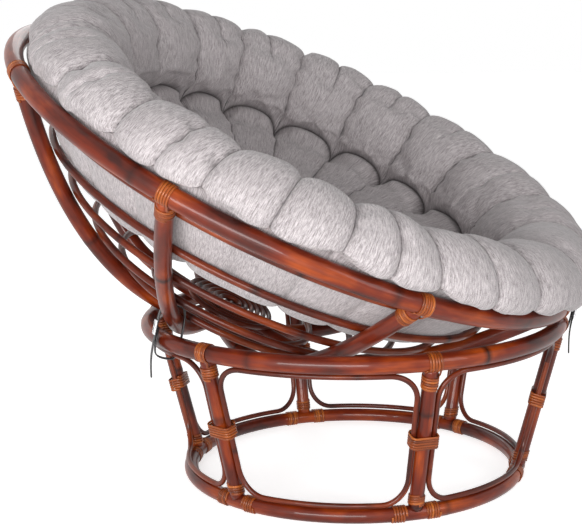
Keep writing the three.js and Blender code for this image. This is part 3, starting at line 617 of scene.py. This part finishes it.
crossing_depth = BOWL_DEPTH - 2 * RIB_RADIUS - TOUCH
crossing_drop = crossing_depth - outer_depth(CROSSING_RADIUS)
crossing_slope = BOWL_DEPTH * BOWL_POWER * (CROSSING_RADIUS / RIM_RADIUS) ** BOWL_POWER
crossing_power = crossing_slope / crossing_drop


def inner_depth(radius):
    if radius >= CROSSING_RADIUS:
        return outer_depth(radius)
    return crossing_depth - crossing_drop * (radius / CROSSING_RADIUS) ** crossing_power


def inside_ribs(radius, distance):
    """A point at a distance inside the ribs' centre line, square to it, as (radius, height)."""
    step = TOUCH
    slope = (inner_depth(radius - step) - inner_depth(radius + step)) / (2 * step)
    length = math.hypot(1, slope)
    return radius - distance * slope / length, -inner_depth(radius) + distance / length


def build_rim():
    points = in_row(circle(RIM_RADIUS, 0, RIM_STEPS))
    piece = pole("rim", points, bowl_up, RIM_POLE_RADIUS, sides=28, closed=True, spacing=0.55)
    finish(piece, lacquered_pole, "rattan_pole", "bowl", "bowl_rim")


def build_rib(index):
    angle = math.pi * index / RIB_COUNT
    depth_at = inner_depth if index % 2 == 0 else outer_depth
    end = RIM_RADIUS - RIM_POLE_RADIUS * RIB_END_SHARE
    places = [around(place, angle, -depth_at(abs(place))) for place in np.linspace(-end, end, RIB_STEPS)]
    outward = way_in_row(around(1, angle + FULL_TURN / 4))
    piece = pole(f"rib_{index + 1}", in_row(places), outward, RIB_RADIUS, sides=24, spacing=0.38)
    finish(piece, lacquered_pole, "rattan_pole", "bowl", f"bowl_rib_{index + 1}")


def build_hoop(index, share):
    radius, height = inside_ribs(share * RIM_RADIUS, RIB_RADIUS + HOOP_RADIUS + TOUCH)
    points = in_row(circle(radius, height, HOOP_STEPS))
    piece = pole(f"hoop_{index + 1}", points, bowl_up, HOOP_RADIUS, sides=14, closed=True, spacing=0.33)
    finish(piece, lacquered_cane, "rattan_cane", "bowl", f"bowl_hoop_{index + 1}")


def build_rosette():
    outer = ROSETTE_EYE + ROSETTE_TURNS * ROSETTE_PITCH
    height = RIB_RADIUS + ROSETTE_RADIUS + TOUCH - inner_depth(outer)
    turns = [step / ROSETTE_STEPS for step in range(ROSETTE_TURNS * ROSETTE_STEPS + 1)]
    places = [around(ROSETTE_EYE + ROSETTE_PITCH * turn, FULL_TURN * turn, height) for turn in turns]
    piece = pole("rosette", in_row(places), bowl_up, ROSETTE_RADIUS, sides=10, spacing=0.3)
    finish(piece, lacquered_cane, "rattan_cane", "bowl", "bowl_rosette")


def build_rib_end_lap(index):
    angle = FULL_TURN * index / (2 * RIB_COUNT)
    centre = around(RIM_RADIUS, angle)
    near = HOOP_SHARES[0] * RIM_RADIUS
    below = around(near, angle, -outer_depth(near))
    places = joint_lap(centre, around(1, angle + FULL_TURN / 4), around(1, angle), unit(below - centre),
                       RIM_POLE_RADIUS, RIB_RADIUS)
    piece = strand(f"rib_end_lapping_{index + 1}", places, in_bowl=True)
    finish(piece, split_cane, "cane_lapping", "bowl", f"bowl_rib_end_lapping_{index + 1}")


build_rings()
for number in range(LEG_COUNT):
    build_leg(number)
    build_window_loop(number)
    build_leg_top_lap(number)
    build_middle_lap(number)
    build_foot_lap(number)
build_rim()
for number in range(RIB_COUNT):
    build_rib(number)
for number, hoop_share in enumerate(HOOP_SHARES):
    build_hoop(number, hoop_share)
build_rosette()
for number in range(2 * RIB_COUNT):
    build_rib_end_lap(number)


# Cushion, in the bowl's frame

# Creases between the outer puffs, from the tufts to the sewn edge, in degrees round the bowl
TUFT_ANGLES = [17, 38, 60, 79, 97, 117, 136, 154, 175, 196, 217, 239, 256, 276, 298, 315, 337, 357]
# Folds on the bolster: the angle, the shares of the way from tuft to edge where they begin and end, depth
FOLDS = [(207, 0.45, 1.0, 0.7), (222, 0.35, 0.95, 0.9), (229, 0.55, 1.0, 0.6), (247, 0.3, 0.9, 0.7),
         (267, 0.25, 1.0, 0.9), (288, 0.3, 1.0, 1.0), (306, 0.2, 1.0, 0.9), (326, 0.4, 1.0, 0.7),
         (27, 0.3, 0.9, 0.6), (48, 0.2, 0.85, 0.6), (69, 0.35, 0.9, 0.5), (88, 0.3, 0.8, 0.7),
         (107, 0.25, 0.8, 0.6), (127, 0.3, 0.9, 0.6), (145, 0.3, 0.8, 0.7), (164, 0.35, 0.9, 0.6),
         (186, 0.4, 0.95, 0.7)]
# Folds under the seat: the angle, and the shares of the way from the edge to the middle
BELLY_FOLDS = [(198, 0.0, 0.5), (214, 0.1, 0.7), (231, 0.0, 0.4), (243, 0.1, 0.6), (259, 0.0, 0.5),
               (272, 0.2, 0.8), (284, 0.0, 0.4), (297, 0.1, 0.6), (311, 0.0, 0.5), (325, 0.1, 0.7),
               (346, 0.0, 0.5), (12, 0.1, 0.6), (41, 0.0, 0.5), (73, 0.1, 0.7), (104, 0.0, 0.5),
               (133, 0.1, 0.6), (168, 0.0, 0.5)]
FOLD_SOFTNESS = 0.12
BELLY_FOLD_DEPTH = 0.010

# Circles of the cover, as radius and height: the middle puffs' edge, the tufts, the sewn edge and the seat's end
INNER_RING, INNER_LEVEL = 0.135, -0.098
TUFT_RING, TUFT_LEVEL = 0.34, -0.030
EDGE_RING, EDGE_LEVEL = 0.520, 0.018
SEAT_RING, SEAT_LEVEL = 0.410, -0.122

# Depth and width of the creases, of the fine ones in them, of the flap of cloth that leans over each, of the
# hollow beside it, of tufts and seams, and of the bow that makes petals of the inner puffs
CREASE_DEPTH, CREASE_WIDTH = 0.013, 0.011
FINE_DEPTH, FINE_WIDTH = 0.011, 0.0032
FLAP_REACH, FLAP_WIDTH = 0.006, 0.010
HOLLOW_DEPTH, HOLLOW_WIDTH = 0.006, 0.045
TUFT_DEPTH, TUFT_WIDTH = 0.040, 0.026
SEAM_DEPTH, SEAM_WIDTH = 0.020, 0.012
PETAL_BULGE, PETAL_REACH = 0.020, 0.045
# How strongly painted shade darkens the cloth at the bottom of a crease
CREASE_PAINTED_SHADE = 0.9
CREASE_SWAY = math.radians(1.1)
# How near to a crease, a tuft and the sewn edge the cover counts as being on it
ON_CREASE = 0.001
TUFT_HOLD = 0.006
EDGE_HOLD = 0.012

# The cover's grid: spacings of its columns and rows, how much they gather at creases and seams, and the least
# radius by which an angle is turned into a distance
COLUMN_SPACING = 0.0055
MIDDLE_SPACING = 0.012
ROW_SPACING = 0.0070
BELLY_SPACING = 0.014
MIDDLE_REACH = 0.02
GATHERING = 0.6
LEAST_RADIUS = 0.06

# The cloth that is blown up, and how far it may move on the puffs and on the underside
CLOTH_FRAMES = 20
CLOTH = {
    "quality": 4, "mass": 0.2, "tension_stiffness": 14, "compression_stiffness": 14, "shear_stiffness": 6,
    "bending_stiffness": 0.4, "use_pressure": True, "uniform_pressure_force": 4.0, "shrink_min": -0.06,
}
PUFF_CAP = 0.014
BELLY_CAP = 0.005
# From the ribs' centre line to the cushion's underside
CUSHION_CLEAR = RIB_RADIUS + 2 * HOOP_RADIUS + 0.0015

# The cushion lies a little towards the front of the tilted bowl, further in at the back, and is higher at
# the back and at one side
FRONT_SHIFT = 0.020
BACK_SHIFT = 0.042
BACK_HIGH_SHARE = 0.12
SIDE_HIGH_SHARE = 0.17
SIDE_HIGH_TURN = math.radians(85)


def cushion_outline():
    """From the middle of the top, over the bolster and the rim, to the middle of the underside."""
    seats = [inside_ribs(share * RIM_RADIUS, CUSHION_CLEAR) for share in (0.94, 0.885, 0.827, 0.78)]
    top = [(0.0, -0.112), (0.07, -0.108), (INNER_RING, INNER_LEVEL), (0.21, -0.076), (0.28, -0.052),
           (TUFT_RING, TUFT_LEVEL), (0.357, 0.008), (0.374, 0.046), (0.398, 0.076), (0.43, 0.095),
           (0.465, 0.102), (0.503, 0.093), (0.536, 0.070), (0.550, 0.044), (0.546, 0.026), (0.535, 0.0207),
           (EDGE_RING, EDGE_LEVEL), (0.5105, 0.004), (0.500, -0.010)]
    belly = [(0.351, -0.146), (0.223, -0.165), (0.11, -0.170), (0.0, -0.171)]
    return top + seats + belly


def smooth_line(points, per_span=24):
    """A smooth line through points, mirrored at both ends so that it crosses the axis level."""
    points = np.array([(-points[1][0], points[1][1])] + points + [(-points[-2][0], points[-2][1])])
    line = []
    for i in range(1, len(points) - 2):
        before, start, end, after = points[i - 1:i + 3]
        for share in np.linspace(0, 1, per_span, endpoint=False):
            line.append(0.5 * (2 * start + (end - before) * share
                               + (2 * before - 5 * start + 4 * end - after) * share ** 2
                               + (3 * start - before - 3 * end + after) * share ** 3))
    line.append(points[-2])
    line = np.array(line)
    way = np.concatenate([[0], np.cumsum(np.linalg.norm(np.diff(line, axis=0), axis=1))])
    return line, way


def angle_between(angles, other):
    return (angles - other + math.pi) % FULL_TURN - math.pi


def way_to(line, way, radius, height):
    return float(way[int(np.argmin(np.hypot(line[:, 0] - radius, line[:, 1] - height)))])


def window(values, start, end, soft):
    """1 between start and end, falling to 0 over a soft margin inside them."""
    rise = np.clip((values - start) / soft, 0, 1)
    fall = np.clip((end - values) / soft, 0, 1)
    return (rise * rise * (3 - 2 * rise)) * (fall * fall * (3 - 2 * fall))


def gathered(start, end, count):
    """Values from start up to end, closer together at both ends."""
    share = np.linspace(0, 1, count, endpoint=False)
    return list(start + (end - start) * (share - GATHERING * np.sin(FULL_TURN * share) / FULL_TURN))


def spread(reach, level, turned):
    return np.stack([reach * np.cos(turned), reach * np.sin(turned), level], axis=-1)


def cushion_cover():
    """The cover before it is blown up.

    Gives the grid's places, where it is held, how far it may move, the fine detail to add after that, the two
    middle points, the way along and across the yarns, and the painted shade in the creases.
    """
    line, way = smooth_line(cushion_outline())
    inner = way_to(line, way, INNER_RING, INNER_LEVEL)
    tuft = way_to(line, way, TUFT_RING, TUFT_LEVEL)
    edge = way_to(line, way, EDGE_RING, EDGE_LEVEL)
    seat = way_to(line, way, SEAT_RING, SEAT_LEVEL)
    stops = [MIDDLE_REACH, inner, tuft, edge, seat, float(way[-1]) - MIDDLE_REACH]
    spacings = [MIDDLE_SPACING, ROW_SPACING, ROW_SPACING, ROW_SPACING, BELLY_SPACING]
    rows = []
    for start, end, spacing in zip(stops, stops[1:], spacings):
        count = 2 * max(1, round((end - start) / spacing / 2))
        rows += gathered(start, end, count)
    rows = np.array(rows + stops[-1:])
    folds = [(math.radians(angle), start, end, strength) for angle, start, end, strength in FOLDS]
    marks = sorted([math.radians(angle) for angle in TUFT_ANGLES] + [fold[0] for fold in folds])
    columns = []
    for start, end in zip(marks, marks[1:] + [marks[0] + FULL_TURN]):
        count = 2 * max(2, round((end - start) * RIM_RADIUS / COLUMN_SPACING / 2))
        columns += gathered(start, end, count)
    columns = np.array(columns)
    turn, place = np.meshgrid(columns, rows)

    # Between two tufts the seam bows outwards, so that the inner puffs are petals
    tufts = np.sort(np.radians(TUFT_ANGLES))
    after = np.searchsorted(tufts, turn % FULL_TURN) % len(tufts)
    gap = (tufts[after] - tufts[after - 1]) % FULL_TURN
    share = ((turn - tufts[after - 1]) % FULL_TURN) / gap
    bow = PETAL_BULGE * np.sqrt(np.clip(4 * share * (1 - share), 0, 1))
    near_seam = np.exp(-((place - tuft) / PETAL_REACH) ** 2)
    path = np.clip(place + bow * near_seam, 0, way[-1])
    radius = np.interp(path, way, line[:, 0])
    height = np.interp(path, way, line[:, 1])
    slope = np.gradient(line, way, axis=0)
    slope /= np.linalg.norm(slope, axis=1, keepdims=True)
    out_radius = -np.interp(path, way, slope[:, 1])
    out_height = np.interp(path, way, slope[:, 0])

    # Creases sway a little on their way
    over = (place - tuft) / (edge - tuft)
    sway = CREASE_SWAY * np.sin(turn * 7 + 5.1 * np.sin(turn * 3) + over * 4.2) * np.clip(over * 3, 0, 1)
    angle = turn + sway * np.clip((1.4 - over) * 3, 0, 1)

    depth = np.zeros_like(turn)
    fine = np.zeros_like(turn)
    flap = np.zeros_like(turn)
    hold = np.zeros_like(turn)
    for number, mark in enumerate(tufts):
        away = angle_between(turn, mark) * np.maximum(radius, LEAST_RADIUS)
        across = np.abs(away)
        on_bolster = window(over, -0.02, 1.04, 0.05)
        on_petal = window(place, inner, tuft + 0.01, 0.03)
        reach = np.maximum(on_bolster, 0.7 * on_petal)
        crease = CREASE_DEPTH * np.exp(-across / CREASE_WIDTH)
        crease += HOLLOW_DEPTH * np.exp(-(across / HOLLOW_WIDTH) ** 2)
        depth = np.maximum(depth, crease * reach)
        fine = np.maximum(fine, reach * np.exp(-across / FINE_WIDTH))
        side = 1 if number % 2 else -1
        flap -= side * on_bolster * (away * side > ON_CREASE) * np.exp(-across / FLAP_WIDTH)
        hold = np.maximum(hold, (across < ON_CREASE) * (np.maximum(on_bolster, on_petal) > 0.5))
        from_tuft = np.hypot(across, place - tuft)
        depth = np.maximum(depth, TUFT_DEPTH * np.exp(-from_tuft / TUFT_WIDTH))
        hold = np.maximum(hold, from_tuft < TUFT_HOLD)
    for number, (mark, start, end, strength) in enumerate(folds):
        away = angle_between(turn, mark) * radius
        across = np.abs(away)
        reach = window(over, start, end + 0.02, FOLD_SOFTNESS)
        depth = np.maximum(depth, strength * reach * CREASE_DEPTH * np.exp(-across / CREASE_WIDTH))
        fine = np.maximum(fine, strength * reach * np.exp(-across / FINE_WIDTH))
        side = 1 if number % 2 else -1
        flap -= side * strength * reach * (away * side > ON_CREASE) * np.exp(-across / FLAP_WIDTH)
        hold = np.maximum(hold, (across < ON_CREASE) * (reach * strength > 0.3))
    for seam, strength in ((tuft, 1.0), (inner, 0.8)):
        depth = np.maximum(depth, strength * SEAM_DEPTH * np.exp(-np.abs(place - seam) / SEAM_WIDTH))
        fine = np.maximum(fine, strength * np.exp(-np.abs(place - seam) / FINE_WIDTH))
        hold = np.maximum(hold, np.abs(place - seam) < ON_CREASE)
    fade = np.clip((edge + 0.02 - place) / 0.03, 0, 1)
    depth *= fade
    under = (place - edge) / (way[-1] - edge)
    for mark, start, end in BELLY_FOLDS:
        across = np.abs(angle_between(turn, math.radians(mark)) * radius)
        fold = BELLY_FOLD_DEPTH * window(under, start, end, FOLD_SOFTNESS) * np.exp(-across / CREASE_WIDTH)
        depth = np.maximum(depth, fold)
    hold = np.maximum(hold, (place > edge - EDGE_HOLD) & (place < seat))
    cap = np.where(place < edge - EDGE_HOLD, PUFF_CAP, np.where(place < seat, 0, BELLY_CAP))

    # What lies above the rim is shifted, and higher at the back and at one side
    above = np.clip((edge + 0.010 - place) / 0.035, 0, 1) * np.clip((place - tuft + 0.10) / 0.15, 0, 1)
    front, back = np.clip(np.cos(turn), 0, 1), np.clip(-np.cos(turn), 0, 1)
    side = np.clip(np.cos(turn - SIDE_HIGH_TURN), 0, 1)
    rise = SIDE_HIGH_SHARE * side + BACK_HIGH_SHARE * back ** 4
    height = np.where(height > 0, height * (1 + rise * above), height)
    radius = radius + above * (FRONT_SHIFT * front ** 2 - BACK_SHIFT * back ** 2)
    spin = flap * FLAP_REACH * fade / np.maximum(radius, LEAST_RADIUS)

    grid = spread(radius - out_radius * depth, height - out_height * depth, angle)
    normal = spread(out_radius, out_height, angle)
    tangent = np.stack([-np.sin(angle), np.cos(angle), np.zeros_like(angle)], axis=-1)
    detail = normal * (-FINE_DEPTH * fade * fine)[..., None] + tangent * (spin * radius)[..., None]
    ends = np.array([[0, 0, float(line[0, 1])], [0, 0, float(line[-1, 1])]])
    weave = spread(np.full_like(turn, RIM_RADIUS), place, turn)
    # The last value is the painted shade in the creases, strongest at the bottom of the fine creases
    return grid, hold, cap, detail, ends, weave, CREASE_PAINTED_SHADE * fade * fine ** 1.5


def grid_faces(row_count, column_count):
    """Four-sided faces of a grid that closes on itself round the axis, with a middle point at each end."""
    top, bottom = row_count * column_count, row_count * column_count + 1
    last = (row_count - 1) * column_count
    faces = []
    for i in range(column_count):
        j = (i + 1) % column_count
        faces.append((top, i, j))
        faces.append((bottom, last + j, last + i))
        for row in range(row_count - 1):
            a, b = row * column_count, (row + 1) * column_count
            faces.append((a + i, b + i, b + j, a + j))
    return faces


def vertices_of(mesh):
    found = np.empty(len(mesh.vertices) * 3, np.float32)
    mesh.vertices.foreach_get("co", found)
    return found.reshape(-1, 3).astype(float)


def blown_up(grid, hold, cap, ends):
    """How far a coarse copy of the cover moves when it is filled: held at its seams, blown up between."""
    rows, columns = hold.shape
    piece = add_mesh("filling", np.vstack([grid.reshape(-1, 3), ends]), grid_faces(rows, columns))
    start = vertices_of(piece.data)
    sewn = piece.vertex_groups.new(name="sewn")
    held = np.concatenate([hold.ravel() > 0.5, [True, True]])
    sewn.add([int(i) for i in np.nonzero(held)[0]], 1.0, "REPLACE")
    modifier = piece.modifiers.new("cloth", "CLOTH")
    cloth = modifier.settings
    for key, value in CLOTH.items():
        setattr(cloth, key, value)
    cloth.effector_weights.gravity = 0
    cloth.vertex_group_mass = "sewn"
    modifier.point_cache.frame_end = CLOTH_FRAMES
    scene = bpy.context.scene
    for number in range(1, CLOTH_FRAMES + 1):
        scene.frame_set(number)
    blown = piece.evaluated_get(bpy.context.evaluated_depsgraph_get())
    moved = (vertices_of(blown.data) - start)[:-2].reshape(rows, columns, 3)
    scene.frame_set(1)
    mesh = piece.data
    bpy.data.objects.remove(piece)
    bpy.data.meshes.remove(mesh)
    length = np.linalg.norm(moved, axis=2)
    return moved * (cap / (cap + np.maximum(length, 1e-9)))[..., None]


def doubled(values, axis, closed):
    """Twice as many values along an axis, on a smooth curve through the given ones."""
    values = np.moveaxis(values, axis, 0)
    if closed:
        before, after, second = np.roll(values, 1, 0), np.roll(values, -1, 0), np.roll(values, -2, 0)
        between = (9 * (values + after) - before - second) / 16
    else:
        padded = np.concatenate([values[:1], values, values[-1:]])
        between = (9 * (padded[1:-2] + padded[2:-1]) - padded[:-3] - padded[3:]) / 16
    result = np.empty((len(values) + len(between),) + values.shape[1:])
    result[0::2] = values
    result[1::2] = between
    return np.moveaxis(result, 0, axis)


def build_cushion():
    grid, hold, cap, detail, ends, weave, crease = cushion_cover()
    coarse = blown_up(grid[::2, ::2], hold[::2, ::2], cap[::2, ::2], ends)
    grid = grid + doubled(doubled(coarse, 0, False), 1, True)
    grid = grid + detail
    rows, columns = hold.shape
    piece = add_mesh("cushion", in_row(np.vstack([grid.reshape(-1, 3), ends])), grid_faces(rows, columns))
    weave = np.vstack([weave.reshape(-1, 3), ends * 0])
    keep_values(piece.data, "weave", "FLOAT_VECTOR", "POINT", "vector", weave)
    # The crease attribute holds the painted shade in the creases, which the cloth's material reads
    keep_values(piece.data, "crease", "FLOAT", "POINT", "value", np.concatenate([crease.ravel(), [0, 0]]))
    piece.data.materials.append(heather)
    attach(piece, "cushion")
    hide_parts("seat_cushion")


build_cushion()


# Straps

def place_on(place_at, value, step):
    """A place on a pole's centre line, and the pole's direction there."""
    return place_at(value), unit(place_at(value + step) - place_at(value - step))


def nearest_on(place_at, start, end, target, samples=400):
    values = np.linspace(start, end, samples)
    away = [np.linalg.norm(place_at(value) - target) for value in values]
    return place_on(place_at, values[int(np.argmin(away))], (end - start) / samples)


def cut_corners(points, rounds):
    """Rounds a bent line's corners and keeps its ends."""
    for _ in range(rounds):
        near = points[:-1] * 0.75 + points[1:] * 0.25
        far = points[:-1] * 0.25 + points[1:] * 0.75
        inner = np.stack([near, far], axis=1).reshape(-1, points.shape[1])
        points = np.vstack([points[:1], inner[1:-1], points[-1:]])
    return points


def strap_section():
    """A leather belt's section: flat, with rounded edges."""
    half, rise = STRAP_WIDTH / 2, STRAP_THICKNESS / 2
    edge = rise * 0.7
    return np.array([(rise, edge - half), (rise, half - edge), (edge, half), (-edge, half),
                     (-rise, half - edge), (-rise, edge - half), (-edge, -half), (edge, -half)])


def build_strap(name, low, low_radius, hung, high, high_radius):
    """A belt round two poles with a hanging tail."""
    (low_point, low_tangent), (high_point, high_tangent) = low, high
    up = high_point - low_point
    rise = float(np.linalg.norm(up))
    up = up / rise
    run = low_tangent + high_tangent * math.copysign(1, low_tangent @ high_tangent)
    run = unit(run - up * (run @ up))
    across = np.cross(run, up)
    if across @ low_point > 0:
        across = -across
    out = -across

    def reach_of(tangent, radius, direction):
        slope = abs((tangent @ direction) / (tangent @ run))
        return radius * math.hypot(1, slope) + STRAP_WIDTH / 2 * slope + STRAP_SLACK + STRAP_THICKNESS / 2

    # Half the loop's width, its reach below the low pole and above the high one, and its cut corners
    side = max(reach_of(low_tangent, low_radius, across), reach_of(high_tangent, high_radius, across))
    drop = reach_of(low_tangent, low_radius, up) + hung
    crown = reach_of(high_tangent, high_radius, up)
    cut = 1 - math.tan(math.pi / 8)
    low_cut, high_cut = cut * low_radius, cut * high_radius
    lap = STRAP_THICKNESS + STRAP_LAP
    places = [(-side, rise / 2, out), (-side, low_cut - drop, out - up), (low_cut - side, -drop, out - up),
              (side - low_cut, -drop, across - up), (side, low_cut - drop, across - up),
              (side, rise + crown - high_cut, across + up), (side - high_cut, rise + crown, across + up),
              (high_cut - side, rise + crown, out + up), (-side - lap, rise + crown - high_cut, out + up),
              (-side - lap, rise / 2, out), (-side - lap - TAIL_LEAN, -drop, out)]
    points = np.array([low_point + across * x + up * z for x, z, _ in places])
    tail = points[-1] - np.array([0, 0, STRAP_TAIL])
    points = cut_corners(np.vstack([points, tail]), 3)
    outward = unit(cut_corners(np.array([unit(direction) for _, _, direction in places] + [out]), 3))
    piece = sweep("leather_" + name, on_base(points), outward, strap_section())
    finish(piece, leather, "strap_leather", "base", name)
    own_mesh(piece)


def build_straps():
    centre = rim_centre - np.array([base_axis[0], base_axis[1], 0])

    def top_ring(angle):
        return around(TOP_RING_RADIUS, angle, top_ring_height)

    def rim(angle):
        return way_in_row(around(RIM_RADIUS, angle)) + centre

    def side_rib(radius):
        return way_in_row(around(radius, -FULL_TURN / 4, -inner_depth(radius))) + centre

    # Under the ring, the rear strap also goes round a window cane
    hung = 2 * WINDOW_CANE_RADIUS + TOUCH + STRAP_SLACK
    rear_high = place_on(side_rib, REAR_STRAP_RADIUS, TOUCH)
    rear_low = nearest_on(top_ring, -math.pi, -FULL_TURN / 4, rear_high[0])
    build_strap("rear_strap", rear_low, TOP_POLE_RADIUS, hung, rear_high, RIB_RADIUS)
    front_low = place_on(top_ring, LEG_TURN + FRONT_STRAP_REACH / TOP_RING_RADIUS, math.radians(1))
    front_high = nearest_on(rim, 0, FULL_TURN / 8, front_low[0])
    build_strap("front_strap", front_low, TOP_POLE_RADIUS, 0, front_high, RIM_POLE_RADIUS)


build_straps()
for name in ("rear_strap_buckle", "front_strap_buckle"):
    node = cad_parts[name]
    node.data.materials.clear()
    node.data.materials.append(nickel)


# Stage, camera and lights

FLOOR_GLOW = 0.68
FLOOR_HALF = 30.0
WORLD_LIGHT = 0.31
# Name, place, target, size in metres and power in watts
LAMPS = [("key", (0.3, -3.2, 0.75), (0, 0, 0.4), (2.6, 0.9), 100),
         ("side", (2.8, -1.2, 1.3), (0, 0, 0.4), (1.0, 1.6), 22),
         ("back", (-1.5, 2.6, 2.2), (0, 0, 0.5), (1.6, 1.2), 14)]
CAMERA_AZIMUTH = math.radians(21.05)
CAMERA_ELEVATION = math.radians(9.46)
CAMERA_DISTANCE = 2.4247
CAMERA_TARGET = (-0.0270, 0.0, 0.3711)
CAMERA_ROLL = math.radians(-0.79)
CAMERA_FOCAL_PIXELS = 1325.5
PICTURE_WIDTH = 582
SENSOR = 36.0


def seen_rays(nodes, links):
    """1 for rays from the camera and for reflections, 0 for the light that falls on the chair."""
    rays = nodes.new("ShaderNodeLightPath")
    seen = add_node(nodes, "ShaderNodeMath", operation="MAXIMUM")
    links.new(rays.outputs["Is Camera Ray"], seen.inputs[0])
    links.new(rays.outputs["Is Glossy Ray"], seen.inputs[1])
    return seen.outputs["Value"]


def build_floor():
    material, nodes, links, shader = new_material("floor_paint")
    grain = add_node(nodes, "ShaderNodeTexNoise", Scale=3.0)
    links.new(ramp(nodes, links, grain.outputs["Fac"], [(0.3, (0.86, 0.86, 0.86)), (0.7, (0.88, 0.88, 0.88))]),
              shader.inputs["Base Color"])
    shader.inputs["Roughness"].default_value = 0.7
    shader.inputs["Specular IOR Level"].default_value = 0.2
    shine = nodes.new("ShaderNodeMixShader")
    links.new(seen_rays(nodes, links), shine.inputs[0])
    for number, strength in ((1, 0.0), (2, FLOOR_GLOW)):
        glow = add_node(nodes, "ShaderNodeEmission", Strength=strength)
        links.new(glow.outputs["Emission"], shine.inputs[number])
    both = nodes.new("ShaderNodeAddShader")
    links.new(shader.outputs["BSDF"], both.inputs[0])
    links.new(shine.outputs["Shader"], both.inputs[1])
    links.new(both.outputs["Shader"], nodes["Material Output"].inputs["Surface"])
    corners = [(FLOOR_HALF * x, FLOOR_HALF * y, 0) for x, y in ((-1, -1), (1, -1), (1, 1), (-1, 1))]
    floor = add_mesh("floor", corners, [(0, 1, 2, 3)], smooth=False)
    floor.data.materials.append(material)


def build_world():
    world = bpy.data.worlds.new("studio")
    world.use_nodes = True
    nodes = world.node_tree.nodes
    links = world.node_tree.links
    tone = mixed(nodes, links, seen_rays(nodes, links), (*[WORLD_LIGHT] * 3, 1), (1, 1, 1, 1))
    links.new(tone, nodes["Background"].inputs["Color"])
    bpy.context.scene.world = world


def add_lamp(name, place, target, size, power):
    lamp = bpy.data.lights.new(name, "AREA")
    lamp.shape = "RECTANGLE"
    lamp.size, lamp.size_y = size
    lamp.energy = power
    holder = bpy.data.objects.new(name, lamp)
    holder.location = place
    holder.rotation_euler = (Vector(target) - Vector(place)).to_track_quat("-Z", "Y").to_euler()
    bpy.context.scene.collection.objects.link(holder)


def build_camera():
    level = math.cos(CAMERA_ELEVATION)
    turn_in, turn_out = math.sin(CAMERA_AZIMUTH), math.cos(CAMERA_AZIMUTH)
    back = Vector((turn_in * level, -turn_out * level, math.sin(CAMERA_ELEVATION)))
    right = Vector((turn_out, turn_in, 0))
    up = back.cross(right)
    turned = right * math.cos(CAMERA_ROLL) + up * math.sin(CAMERA_ROLL)
    raised = back.cross(turned)
    data = bpy.data.cameras.new("camera")
    data.sensor_width = SENSOR
    data.lens = CAMERA_FOCAL_PIXELS * SENSOR / PICTURE_WIDTH
    camera = bpy.data.objects.new("camera", data)
    place = Vector(CAMERA_TARGET) + back * CAMERA_DISTANCE
    turn = Matrix((turned, raised, back)).transposed()
    camera.matrix_world = Matrix.Translation(place) @ turn.to_4x4()
    bpy.context.scene.collection.objects.link(camera)
    bpy.context.scene.camera = camera


build_floor()
build_world()
for lamp_values in LAMPS:
    add_lamp(*lamp_values)
build_camera()
bpy.context.scene.view_settings.view_transform = "Standard"
